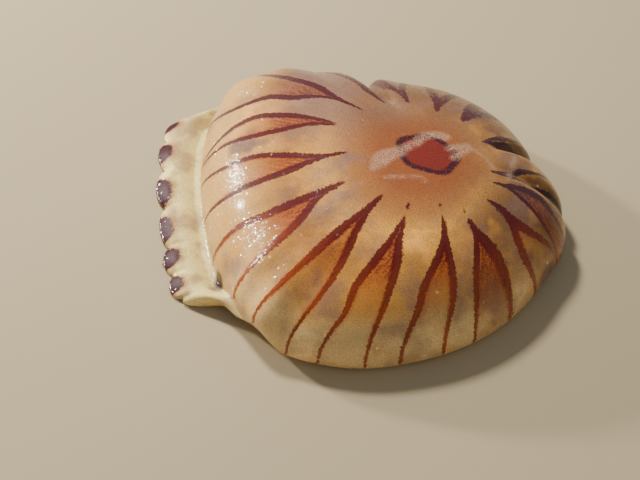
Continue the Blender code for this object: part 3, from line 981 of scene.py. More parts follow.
@dataclass(frozen=True)
class BellJelly(WetJelly):
    """Amber jelly of the bell, with its spot, V marks, lappet tips, pale streaks near the crown,
    and painted light and shade.

    Places are in mm, east and north on the floor. Shares are of the reach from the crown.
    """

    name: str = "bell_jelly"
    noises: tuple[tuple[str, float, float, float, float], ...] = (
        # name, scale, shift, detail, roughness
        ("grit", 1.1, 0.0, 2.0, 0.6), ("ragged", 0.6, 0.0, 3.0, 0.7),
        ("shade", 0.065, 0.0, 2.0, 0.5), ("sunny", 0.070, 91.0, 2.0, 0.5),
        ("grey", 0.09, 53.0, 2.0, 0.5), ("teeth", 0.75, 0.0, 3.0, 0.7),
        ("stipple", 2.3, 37.0, 1.0, 0.7), ("pale_streak_noise", 1.9, 0.0, 3.0, 0.7),
    )
    scatters: tuple[tuple[str, float, float], ...] = (
        # name, scale, randomness
        ("painted_light_specks", 0.09, 1.0), ("freckles", 1.05, 1.0), ("beads", 0.75, 0.8), ("dots", 0.95, 1.0),
    )
    ragged: Pair = (2.6, -1.3)
    crown_mm: Pair = (34.1, 1.7)
    fold_patch_mm: Triple = (-68.0, -42.0, 9.0)
    fold_ragged: float = 0.8
    calm_mm: Triple = (-56.6, -16.1, 34.5)
    calm_from: Fade = Fade(4.0, 9.0, (0.10, 1.0))
    hem_waver: float = 0.006
    lappet_sides: float = 22.0
    lappet_bulge: float = 3.0
    lappet_ragged: float = 2.0

    ground_stops: tuple[tuple[float, Paint], ...] = (
        (0.0, paint(134, 77, 45)), (0.22, paint(136, 80, 46)), (0.36, paint(160, 106, 56)),
        (0.46, paint(208, 148, 64)), (0.64, paint(128, 84, 42)), (0.85, paint(112, 76, 42)),
        (0.96, paint(136, 94, 56)), (1.0, paint(140, 100, 62)),
    )
    under_clouds: tuple[Coat, ...] = (
        # Painted light: the west side paler and yellower, as if lit from there.
        Coat("painted light of the west side", paint(238, 174, 86), (by("east", -26.0, -72.0, 0.0, 0.9),)),
        Coat("clear edge", paint(208, 164, 94),
             (by("share", 0.72, 0.98, 0.0, 0.8), by("east", -20.0, -60.0))),
        # Painted shade: the east side darker, less so toward the margin.
        Coat("painted shade of the east side", paint(120, 86, 58),
             (by("east", 25.0, 75.0, 0.0, 0.8), by("share", 0.9, 0.65, 0.25, 1.0))),
        Coat("far side", MAUVE, (by("north", 2.0, 36.0), by("east", -48.0, -24.0, 0.1, 0.9)),
             (Coat("far brown", paint(112, 76, 54), (by("east", -16.0, 16.0),)),)),
        Coat("lit side", paint(208, 148, 66), (by("north", -36.0, -76.0, 0.0, 0.75),),
             (Coat("lit edge", LIT_EDGE, (by("share", 0.84, 0.97),)),)),
        Coat("lit hem", LIT_EDGE,
             (by("north", -36.0, -76.0, 0.0, 0.75), by("share", 0.93, 1.0, 0.0, 0.6))),
    )
    drift_scale: float = 0.11
    drift_detail: float = 3.0
    drift_shift: float = 17.0
    drift_mm: float = 26.0
    light_gain: float = 0.75
    # Painted light: clouds that brighten the jelly where light glows through it or lifts a shaded
    # side.
    lights: tuple[Cloud, ...] = (
        Cloud((-28.0, -44.0), 12.0, 0.9), Cloud((29.0, -48.0), 9.0, 0.8),
        Cloud((-44.0, 41.0), 16.0, 0.8), Cloud((-41.0, -8.0), 14.0, 0.4),
        Cloud((-7.0, -45.0), 8.0, 0.5), Cloud((-27.0, -84.0), 7.0, 0.5),
        Cloud((33.0, -84.0), 8.0, 0.2), Cloud((48.0, -47.0), 10.0, 0.8),
        Cloud((76.0, -47.0), 12.0, 0.9), Cloud((73.0, 12.0), 9.0, 0.5),
        Cloud((85.0, -7.0), 9.0, 0.9), Cloud((-41.0, 18.0), 8.0, 0.6),
        Cloud((12.0, -50.0), 6.0, 0.4),
    )
    # Partly painted shade: clouds blended toward mauve, over inner patches seen through the jelly.
    shades: tuple[Cloud, ...] = (
        Cloud((-25.0, -66.0), 8.0, 0.9), Cloud((2.5, -35.0), 8.0, 0.5),
        Cloud((24.5, -70.0), 9.0, 0.6), Cloud((46.0, -69.0), 7.0, 0.45),
        Cloud((61.0, -64.0), 8.0, 0.6), Cloud((-7.0, -3.0), 8.0, 1.0),
        Cloud((-55.0, 22.0), 9.0, 1.0), Cloud((4.0, -58.0), 7.0, 0.4),
        Cloud((-34.0, -22.0), 8.0, 0.5), Cloud((78.0, -24.0), 9.0, 0.8),
        Cloud((-13.0, -26.0), 14.0, 0.8), Cloud((-62.0, -48.0), 12.0, 0.6),
        Cloud((-10.0, -1.0), 12.0, 0.6), Cloud((-15.0, -73.0), 8.0, 0.6),
        Cloud((18.0, 34.0), 12.0, 0.3),
    )

    under_marks: tuple[Coat, ...] = (
        Coat("shade", MAUVE, (by("share", 0.28, 0.50), by("shade", 0.48, 0.72, 0.0, 0.45))),
        # Painted glow: soft amber patches standing for light shining through the jelly.
        Coat("glow", paint(216, 148, 56),
             (by("share", 0.28, 0.50), by("sunny", 0.48, 0.70, 0.0, 0.5),
              by("north", 45.0, 10.0))),
        # Painted light: small pale specks like caustic glints on the outer bell.
        Coat("painted_light_specks", PAINTED_LIGHT_TONE, (by("painted_light_specks", 0.10, 0.04, 0.0, 0.7), by("share", 0.55, 0.75))),
        Coat("freckles", paint(104, 48, 30),
             (by("freckles", 0.36, 0.14), by("grit", 0.42, 0.58),
              by("share", 0.8, 0.25, 0.30, 0.85))),
        # The brim's pale clear jelly, brightened as painted glow of light passing through it.
        Coat("clear brim with painted glow", paint(255, 230, 146), (by("brim", 0.0, 0.8),),
             (Coat("grey of the brim", paint(204, 172, 118), (by("grey", 0.40, 0.66),)),)),
        Coat("ring", paint(134, 72, 36),
             (by("spot", 2.7, 0.8, 0.0, 0.7), by("grit", 0.3, 0.62, 0.4, 0.95))),
        # Painted highlight: a thin pale rim light along the near margin.
        Coat("painted highlight of the hem", PAINTED_LIGHT_TONE,
             (by("north", -35.0, -60.0), by("wavy", 1.024, 1.034),
              by("wavy", 1.10, 1.05, 0.0, 0.85))),
        Coat("line of the hem", LEG_END,
             (by("wavy", 1.020, 1.025), by("wavy", 1.040, 1.034), by("east", 12.0, 28.0),
              by("north", -15.0, -30.0, 0.0, 0.8))),
    )
    spot_coats: tuple[Coat, ...] = (
        Coat("spot", paint(106, 36, 30), (by("rough", 1.04, 0.97),),
             (Coat("light of the spot", paint(128, 56, 38), (by("grit", 0.4, 0.7, 0.0, 0.4),)),)),
        Coat("edge of the spot", paint(52, 22, 34),
             (by("rough", 0.78, 0.88), by("rough", 1.13, 1.03),
              by("beads", 0.75, 0.35, 0.55, 1.0))),
    )
    top_coats: tuple[Coat, ...] = (
        Coat("lappet halo", paint(176, 108, 50), (by("lappet", 13.5, 7.0, 0.0, 0.7),)),
        Coat("lappet tip", LAPPET_TIP, (by("lappet", 8.8, 6.6),)),
        Coat("fold patch", LAPPET_TIP, (by("fold", 6.6, 3.4),)),
        # Pale streaks near the crown, drawn from the distance to the trails listed in BellSkin.
        Coat("pale crown streaks", paint(182, 148, 122),
             (by("film", 1.6, -1.6), by("pale_streak_noise", 0.44, 0.60, 0.05, 1.0))),
    )

    spot_mm: Pair = (-0.7, 1.8)
    spot_turn: float = math.radians(-34.0)
    spot_half_mm: Pair = (15.2, 11.2)
    spot_corners: float = 5.0
    spot_wave: float = 0.05
    spot_ragged: float = 0.07

    away: tuple[tuple[str, Fade], ...] = (by("east", 40.0, 66.0), by("north", -34.0, -8.0))
    away_north: tuple[str, Fade] = by("north", 15.0, 55.0, 0.0, 0.6)
    behind: tuple[tuple[str, Fade], ...] = (by("north", 18.0, 36.0), by("east", -20.0, 0.0))
    streak_lanes: Pair = (0.9, 7.0)
    streak_detail: Pair = (3.0, 0.65)
    inside: tuple[tuple[str, Fade], ...] = (
        by("left", -0.3, 1.4), by("right", 0.3, -1.4), by("along", 0.0, 0.06))
    within: Paint = paint(162, 76, 22)
    within_far: Paint = paint(116, 76, 58)
    leg_speck: Paint = paint(84, 18, 12)
    dot_size: Pair = (0.66, -0.44)
    dot_edge: Fade = Fade(0.07, -0.07)
    streaked: tuple[tuple[str, Fade], ...] = (by("streaks", 0.46, 0.58), by("spent", 1.0, 0.5))
    dark_cover: Pair = (0.95, 0.8)
    stain_spent: Fade = Fade(1.25, 0.60)
    leg_glow: Paint = paint(170, 88, 30)
    glow_left: tuple[str, Fade] = by("left", 3.8, 0.8)
    glow_right: tuple[str, Fade] = by("right", -3.8, -0.8)
    glow_along: tuple[str, Fade] = by("along", 1.0, 0.8, 0.0, 0.55)

    leg_stops: tuple[tuple[float, Paint], ...] = (
        (0.0, paint(76, 13, 23)), (0.4, paint(88, 14, 12)), (1.0, LEG_END))
    leg_north_stops: tuple[tuple[float, Paint], ...] = (
        (0.0, paint(76, 13, 23)), (1.0, paint(86, 17, 23)))
    leg_north: Fade = Fade(-42.0, -8.0)
    leg_streaks: Coat = Coat(
        "dark streaks", paint(60, 14, 18), (by("streaks", 0.40, 0.7, 0.0, 0.5),))
    leg_far: Paint = paint(62, 34, 44)
    leg_cover: float = 0.96
    teeth_mm: float = 2.9
    ragged_teeth: float = 0.45
    leg_outer: Fade = Fade(-0.15, 0.15)
    leg_inner: Fade = Fade(0.5, -0.5)
    leg_ends: tuple[tuple[str, Fade], ...] = (by("half", 0.05, 0.35), by("share", 1.07, 1.0))

    brim_level: float = 0.8
    brim_clear: float = 0.25
    brim_clear_from: Fade = Fade(3.0, 8.0)
    stipple: float = 1.5
    ceiling: Paint = paint(196, 156, 108)
    ceiling_cover: float = 0.45
    warts: float = 0.5
    wart_scale: float = 1.3
    ripple: float = 1.4
    ripple_scale: float = 0.16

    def canvas(self, graph: Graph) -> Canvas:
        """Read everything that the coats need.

        Args:
            graph: the material being built.

        Returns:
            The graph with its readings: places in mm, shares, noises and gaps.
        """
        place = graph.place_mm()
        read = dict(zip(("east", "north"), graph.parts(place)))
        for names, attribute in (
            (("along", "share", "depth"), "mark_run"), (("left", "right", "half"), "mark_legs"),
            (("strength", "end"), "mark_stain"), (("across", "from_tip", "brim"), "lappet_place"),
            (("film",), "film"),
        ):
            read |= zip(names, graph.attribute(attribute))
        for name, scale, shift, detail, roughness in self.noises:
            read[name] = graph.noise(scale, graph.shifted(place, shift), detail, roughness)
        for name, scale, randomness in self.scatters:
            read[name] = graph.cells(scale, place, randomness)
        ragged = read["ragged"] = graph.plus_scaled(read["ragged"], *self.ragged)
        read["wavy"] = graph.plus_scaled(ragged, self.hem_waver, read["share"])
        read["spot"] = self.spot_distance(graph, place)
        read["rough"] = graph.plus_scaled(ragged, self.spot_ragged, read["spot"])
        bulge = graph.math("POWER", graph.math("ABSOLUTE", read["across"]), self.lappet_bulge)
        rim = graph.plus_scaled(bulge, self.lappet_sides, read["from_tip"])
        read["lappet"] = graph.plus_scaled(ragged, self.lappet_ragged, rim)
        gap = graph.vector_math("DISTANCE", place, self.fold_patch_mm)
        read["fold"] = graph.plus_scaled(ragged, self.fold_ragged, gap)
        across, along = self.streak_lanes
        lanes = graph.times(read["left"], across), graph.times(read["along"], along), 0.0
        read["streaks"] = graph.noise(1.0, graph.vector(*lanes), *self.streak_detail)
        read["spent"] = graph.math("DIVIDE", read["along"], read["end"])
        return Canvas(graph, read)

    def spot_distance(self, graph: Graph, place: Socket) -> Socket:
        """Distance from the spot's middle.

        Args:
            graph: the material being built.
            place: the place in mm.

        Returns:
            The distance, 1 at the spot's edge.
        """
        middle = [c + s for c, s in zip(self.crown_mm, self.spot_mm)]
        inputs = {"Vector": place, "Location": (*middle, 0.0),
                  "Rotation": (0.0, 0.0, self.spot_turn)}
        mapping = graph.node("Mapping", inputs, vector_type="TEXTURE")
        x, y, _ = graph.parts(mapping.outputs[0])
        x = graph.math("DIVIDE", x, self.spot_half_mm[0])
        y = graph.math("DIVIDE", y, self.spot_half_mm[1])
        distance = graph.math("SQRT", graph.plus_scaled(x, x, graph.times(y, y)))
        corners = graph.times(graph.math("ARCTAN2", y, x), self.spot_corners)
        wave = graph.plus_scaled(graph.math("COSINE", corners), self.spot_wave, 1.0)
        return graph.times(distance, wave)

    def add_clouds(self, graph: Graph, tone: Socket) -> Socket:
        """Paint light and shade onto the jelly in soft uneven places.

        Args:
            graph: the material being built.
            tone: the colour so far.

        Returns:
            The new colour.
        """
        place = graph.place_mm()
        inputs = {"Vector": graph.shifted(place, self.drift_shift), "Scale": self.drift_scale,
                  "Detail": self.drift_detail}
        drift = graph.node("TexNoise", inputs)
        push = graph.vector_math("SCALE", graph.spread(drift), self.drift_mm)
        pushed = graph.vector_math("ADD", place, push)
        flat = graph.vector_math("MULTIPLY", pushed, (1.0, 1.0, 0.0))
        for shade in self.shades:
            tone = graph.blend(shade.share(graph, flat), tone, MAUVE)
        for light in self.lights:
            lift = graph.plus_scaled(light.share(graph, flat), self.light_gain, 1.0)
            tone = graph.vector_math("SCALE", tone, lift)
        return tone

    def add_marks(self, on: Canvas, tone: Socket) -> Socket:
        """Draw the V marks: a glow and a dotted stain between their ragged legs.

        Args:
            on: what the coats are drawn from.
            tone: the colour so far.

        Returns:
            The new colour.
        """
        graph, read = on.graph, on.read
        away = graph.larger(on.cover(*self.away), on.cover(self.away_north))
        behind = graph.larger(away, on.cover(*self.behind))
        inside = on.cover(*self.inside)
        size = graph.plus_scaled(read["spent"], self.dot_size[1], self.dot_size[0])
        gap = graph.math("SUBTRACT", read["dots"], size)
        dark = graph.larger(on.cover(*self.streaked), graph.step(gap, self.dot_edge))
        near, far = (graph.times(dark, cover) for cover in self.dark_cover)
        stain = graph.blend(near, self.within, self.leg_speck)
        stain = graph.blend(behind, stain, graph.blend(far, self.within_far, self.leg_far))
        halo = graph.larger(on.cover(self.glow_left), on.cover(self.glow_right))
        halo = graph.times(halo, inside, graph.math("SUBTRACT", 1.0, behind),
                           on.cover(self.glow_along))
        tone = graph.blend(halo, tone, self.leg_glow)
        stained = graph.times(inside, read["strength"], graph.step(read["spent"], self.stain_spent))
        return self.add_legs(on, graph.blend(stained, tone, stain), away)

    def add_legs(self, on: Canvas, tone: Socket, away: Socket) -> Socket:
        """Draw the ragged legs of the V marks.

        Args:
            on: what the coats are drawn from.
            tone: the colour so far.
            away: 1 on the far side of the bell, where the legs are duller.

        Returns:
            The new colour.
        """
        graph, read = on.graph, on.read
        teeth = graph.plus_scaled(read["teeth"], self.teeth_mm, -0.5 * self.teeth_mm)
        teeth = graph.plus_scaled(read["ragged"], self.ragged_teeth, teeth)
        width = graph.math("ADD", read["half"], teeth)
        legs = []
        for distance in (read["left"], graph.times(read["right"], -1.0)):
            outer = graph.step(graph.math("ADD", distance, width), self.leg_outer)
            inner = graph.step(graph.math("SUBTRACT", distance, width), self.leg_inner)
            legs.append(graph.times(outer, inner))
        cover = graph.times(graph.larger(*legs), on.cover(*self.leg_ends), self.leg_cover)
        near, north = (graph.ramp(read["along"], s) for s in (self.leg_stops, self.leg_north_stops))
        leg = graph.blend(graph.step(read["north"], self.leg_north), near, north)
        leg = on.lay((self.leg_streaks,), leg)
        return graph.blend(cover, tone, graph.blend(away, leg, self.leg_far))

    def colour(self, graph: Graph) -> Socket:
        """Colour of the surface.

        Args:
            graph: the material being built.

        Returns:
            The colour, coat over coat.
        """
        on = self.canvas(graph)
        tone = on.lay(self.under_clouds, graph.ramp(on.read["share"], self.ground_stops))
        tone = on.lay(self.under_marks, self.add_clouds(graph, tone))
        tone = on.lay(self.spot_coats, self.add_marks(on, tone))
        warts = graph.plus_scaled(on.read["stipple"], self.stipple, 1.0 - 0.5 * self.stipple)
        tone = on.lay(self.top_coats, graph.vector_math("SCALE", tone, warts))
        return graph.blend(graph.times(on.read["depth"], self.ceiling_cover), tone, self.ceiling)

    def level(self, graph: Graph) -> Socket:
        """How far the water film lies level: only on the brim."""
        return graph.times(graph.attribute("lappet_place")[2], self.brim_level)

    def ruffle(self, graph: Graph) -> Socket:
        """How much of its lean the film keeps: little where the bell glares."""
        gap = graph.vector_math("DISTANCE", graph.place_mm(), self.calm_mm)
        return graph.step(gap, self.calm_from)

    def clearness(self, graph: Graph) -> Socket:
        """Share of light that passes, where the brim is clear."""
        _, from_tip, brim = graph.attribute("lappet_place")
        return graph.times(brim, graph.step(from_tip, self.brim_clear_from), self.brim_clear)

    def grain(self, graph: Graph) -> Socket:
        """Height of the fine surface, from warts and slow ripples."""
        warts = graph.noise(self.wart_scale, graph.place_mm(), 3.0, 0.6)
        ripple = graph.times(graph.noise(self.ripple_scale, graph.place_mm()), self.ripple)
        return graph.plus_scaled(warts, self.warts, ripple)


# ---- bell --------------------------------------------------------------------


@dataclass(frozen=True)
class Trail:
    """A pale streak near the crown: half its width and its route, in mm from the crown."""

    half_width: float
    route: tuple[Pair, ...]


@dataclass(frozen=True)
class Disc:
    """A round patch of the bake map that one face of the bell is laid out on."""

    middle: Pair
    radius: float


@dataclass
class BellSkin:
    """One skin round the whole bell, outside and in."""

    shape: BellShape
    marks: VMarks = field(default_factory=VMarks)
    finish: BellJelly = field(default_factory=BellJelly)
    columns_per_rib: int = 32
    dome_rows: int = 64
    hinge_rows: int = 10
    skirt_rows: int = 26
    tip_rows: int = 6
    inner_skirt_rows: int = 16
    inner_hinge_rows: int = 8
    ceiling_rows: int = 40
    far_from_tip_mm: float = 40.0
    patch_shift: float = 0.22
    patch_shift_wave: Pair = (5.1, 1.0)
    patch_growth_mm: float = 0.9
    patch_growth_wave: float = 3.7
    patch_fade_mm: float = 14.0
    patch_flare: Pair = (0.75, 0.97)
    brim_share: Pair = (0.985, 1.03)
    outer_disc: Disc = Disc((0.37, 0.63), 0.36)
    inner_disc: Disc = Disc((0.80, 0.20), 0.19)
    no_streak_mm: float = 99.0
    trail_points: int = 24
    trails: tuple[Trail, ...] = (
        Trail(2.4, ((-26.5, -6.5), (-24.0, 1.0), (-14.6, 4.0), (-6.5, 8.5), (-2.4, 13.2),
                    (3.8, 14.5), (8.4, 13.2))),
        Trail(2.8, ((-23.0, -4.0), (-19.0, 0.5), (-14.0, 2.5))),
        Trail(0.8, ((-21.2, -13.1), (-7.0, -13.1), (-2.5, -15.7))),
        Trail(2.0, ((9.9, 5.5), (19.0, 6.9), (12.0, -0.5))),
        Trail(0.5, ((21.0, 6.2), (27.0, 1.0), (30.8, -5.8))),
        Trail(1.1, ((42.5, 6.9), (40.5, 0.5), (37.3, -10.3))),
        Trail(0.4, ((37.3, -10.3), (42.0, -10.0), (47.7, -11.6))),
    )

    @property
    def columns(self) -> int:
        """Meridians of points round the bell."""
        return self.columns_per_rib * self.shape.ribs

    def rings(self) -> list[dict[str, Array]]:
        """Rings of points from the crown out, round the lappets and back to the ceiling.

        Returns:
            One dict to a ring: its points, and for each point its share of the reach, its
            depth and its distance from the lappets' ends.
        """
        shape = self.shape
        phi = shape.first_rib + 2.0 * math.pi * np.arange(self.columns) / self.columns
        reach = shape.reach(phi)
        length = shape.margin(phi)[1]
        round_off = 0.5 * shape.lappet_thickness / length
        end = 2.0 - round_off
        found = []

        def add_dome(a: float, depth: float) -> None:
            """Add a ring of the dome.

            Args:
                a: angle down from the crown.
                depth: 0 on the outside, 1 on the inside.
            """
            radius, height = shape.on_dome(phi, a, depth)
            points = shape.place(phi, radius, height, 0.0)
            found.append({"points": points, "share": radius / reach, "depth": depth,
                          "from_tip": np.full(len(phi), self.far_from_tip_mm)})

        def add_margin(run: Array, depth: float) -> None:
            """Add a ring of the margin.

            Args:
                run: 0 to 1 over the hinge, 1 to 2 down to the lappets' ends.
                depth: 0 on the outside, 1 on the inside.
            """
            points = shape.place(phi, *shape.on_margin(phi, run, depth), run)
            hinge = shape.hinge_length * np.minimum(run, 1.0)
            travel = hinge + length * np.maximum(run - 1.0, 0.0)
            from_tip = np.where(run > 1.0, (2.0 - run) * length / MM, self.far_from_tip_mm)
            found.append({"points": points, "share": 1.0 + travel / reach, "depth": depth,
                          "from_tip": from_tip})

        for k in range(1, self.dome_rows + 1):
            add_dome(0.5 * math.pi * k / self.dome_rows, 0.0)
        for k in range(1, self.hinge_rows + 1):
            add_margin(np.full(len(phi), k / self.hinge_rows), 0.0)
        for k in range(1, self.skirt_rows + 1):
            add_margin(1.0 + (end - 1.0) * k / self.skirt_rows, 0.0)
        for k in range(1, self.tip_rows):
            turn = math.pi * k / self.tip_rows
            add_margin(end + round_off * math.sin(turn), 0.5 - 0.5 * math.cos(turn))
        for k in range(self.inner_skirt_rows, 0, -1):
            add_margin(1.0 + (end - 1.0) * k / self.inner_skirt_rows, 1.0)
        for k in range(self.inner_hinge_rows, 0, -1):
            add_margin(np.full(len(phi), k / self.inner_hinge_rows), 1.0)
        for k in range(self.ceiling_rows, 0, -1):
            add_dome(0.5 * math.pi * k / self.ceiling_rows, 1.0)
        return found

    def streak_distance(self, points: Array) -> Array:
        """Distance in mm from the pale streaks near the crown, less their half width.

        Args:
            points: points of the skin.

        Returns:
            The distance, below 0 inside a trail.
        """
        plan = (points[:, :2] - np.array(self.shape.crown)) / MM
        best = np.full(len(plan), self.no_streak_mm)
        for trail in self.trails:
            knots = spline(np.array(trail.route), self.trail_points)
            for a, b in zip(knots, knots[1:]):
                along = np.clip(((plan - a) @ (b - a)) / ((b - a) @ (b - a)), 0.0, 1.0)
                gap = np.linalg.norm(plan - a - along[:, None] * (b - a), axis=1)
                best = np.minimum(best, gap - trail.half_width)
        return best

    def build(self) -> bpy.types.Object:
        """Make the skin, with what its finish reads, and set it in the frame.

        Returns:
            The skin's object.
        """
        rings = self.rings()
        columns = self.columns
        crown = [*self.shape.crown, self.shape.height]
        ceiling = [*self.shape.crown, self.shape.height - self.shape.crown_thickness]
        points = np.vstack([ring["points"] for ring in rings] + [[crown], [ceiling]])
        top = len(rings) * columns
        bottom = top + 1
        last = (len(rings) - 1) * columns
        faces = [face[::-1] for face in grid_faces(len(rings), columns, True)]
        faces += [(top, c, (c + 1) % columns) for c in range(columns)]
        faces += [(bottom, last + (c + 1) % columns, last + c) for c in range(columns)]
        skin = make_object("bell_skin", points, faces, self.finish.material())
        self.write_marks(skin.data, rings)
        film = np.full(len(points), self.no_streak_mm)
        upper = self.dome_rows * columns
        film[:upper] = self.streak_distance(points[:upper])
        self.write_vectors(skin.data, "film", "POINT", film)
        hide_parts("bell_crown", *(f"bell_octant_{k + 1}" for k in range(OCTANTS)))
        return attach(skin, "root")

    @staticmethod
    def write_vectors(mesh: bpy.types.Mesh, name: str, domain: str, *values: Array) -> None:
        """Store up to three numbers for each point or corner of a mesh.

        Args:
            mesh: the mesh.
            name: what the finish knows them by.
            domain: POINT or CORNER.
            values: the numbers, one array to a component; those left out are 0.
        """
        layer = mesh.attributes.new(name, "FLOAT_VECTOR", domain)
        table = np.zeros((len(values[0]), 3), np.float32)
        for column, value in enumerate(values):
            table[:, column] = value
        layer.data.foreach_set("vector", table.ravel())

    @staticmethod
    def face_means(values: Array, owner: Array, faces: int) -> Array:
        """Give each corner the mean of its face's corners."""
        total = np.bincount(owner, values, faces)
        return (total / np.bincount(owner, minlength=faces))[owner]

    def write_marks(self, mesh: bpy.types.Mesh, rings: list[dict[str, Array]]) -> None:
        """Store the distances that the finish draws marks and lappets from, and the bake map.

        Args:
            mesh: the skin's mesh.
            rings: the rings it was made from.
        """
        shape = self.shape
        columns = self.columns
        vertex = np.zeros(len(mesh.loops), np.int64)
        mesh.loops.foreach_get("vertex_index", vertex)
        sizes = np.zeros(len(mesh.polygons), np.int64)
        mesh.polygons.foreach_get("loop_total", sizes)
        owner = np.repeat(np.arange(len(sizes)), sizes)
        quads = (len(rings) - 1) * columns
        cap_row = np.where(owner < quads + columns, -1, len(rings) - 1)
        face_row = np.where(owner < quads, owner // columns, cap_row)
        face_column = np.where(owner < quads, owner, owner - quads) % columns

        pole = vertex >= len(rings) * columns
        row = np.where(pole, 0, vertex // columns)
        column = np.where(pole, face_column, vertex % columns)
        column = np.where((column == 0) & (face_column == columns - 1), columns, column)

        def read(key: str, at_pole: Numbers) -> Array:
            """Read a ring's value at each corner."""
            table = np.vstack([np.broadcast_to(ring[key], (columns,)) for ring in rings])
            return np.where(pole, at_pole, table[row, column % columns])

        share = read("share", 0.0)
        depth = read("depth", (face_row >= 0).astype(float))
        from_tip = read("from_tip", self.far_from_tip_mm)
        phi = shape.first_rib + 2.0 * math.pi * column / columns
        face_phi = shape.first_rib + 2.0 * math.pi * (face_column + 0.5) / columns

        rib = self.marks.nearest(shape, face_phi, self.face_means(share, owner, len(sizes)))
        left, right, half, along, *stain = self.marks.legs(shape, rib, phi, share)
        self.write_vectors(mesh, "mark_legs", "CORNER", left, right, half)
        self.write_vectors(mesh, "mark_run", "CORNER", along, share, depth)
        self.write_vectors(mesh, "mark_stain", "CORNER", *stain)

        number = np.floor(shape.lappet_run(face_phi))
        flare = shape.flare(shape.plan_angle(phi, 1.0))
        side = 2.0 * (shape.lappet_run(phi) - number) - 1.0
        pace, phase = self.patch_shift_wave
        side = side + self.patch_shift * np.sin(pace * number + phase)
        from_tip = from_tip + self.patch_fade_mm * (1.0 - ease(*self.patch_flare, np.abs(flare)))
        from_tip = from_tip + self.patch_growth_mm * np.sin(self.patch_growth_wave * number)
        brim = np.clip(flare, 0.0, 1.0) * ease(*self.brim_share, share)
        self.write_vectors(mesh, "lappet_place", "CORNER", side, from_tip, brim)

        place = np.where(pole, np.where(face_row < 0, -1.0, len(rings) * 1.0), row)
        self.write_bake_map(mesh, place, face_row, phi, len(rings))

    def write_bake_map(self, mesh: bpy.types.Mesh, place: Array, face_row: Array,
                       phi: Array, count: int) -> None:
        """Lay the outside of the bell on one disc and its inside on another.

        Args:
            mesh: the skin's mesh.
            place: each corner's ring, -1 at the crown.
            face_row: the ring that each corner's face starts from.
            phi: each corner's meridian.
            count: how many rings there are.
        """
        rows_outside = self.dome_rows + self.hinge_rows + self.skirt_rows + self.tip_rows // 2
        outside = face_row < rows_outside
        outer, inner = self.outer_disc, self.inner_disc
        radius = np.where(outside, (place + 1.0) / (rows_outside + 1.0) * outer.radius,
                          (count - place) / (count - rows_outside) * inner.radius)
        middle = np.where(outside[:, None], [outer.middle], [inner.middle])
        spin = np.where(outside, 1.0, -1.0) * phi
        uv = middle + radius[:, None] * np.stack([np.cos(spin), np.sin(spin)], 1)
        layer = mesh.uv_layers.new(name="OFBake")
        layer.data.foreach_set("uv", np.ascontiguousarray(uv, np.float32).ravel())


# ---- mouth and arms ----------------------------------------------------------


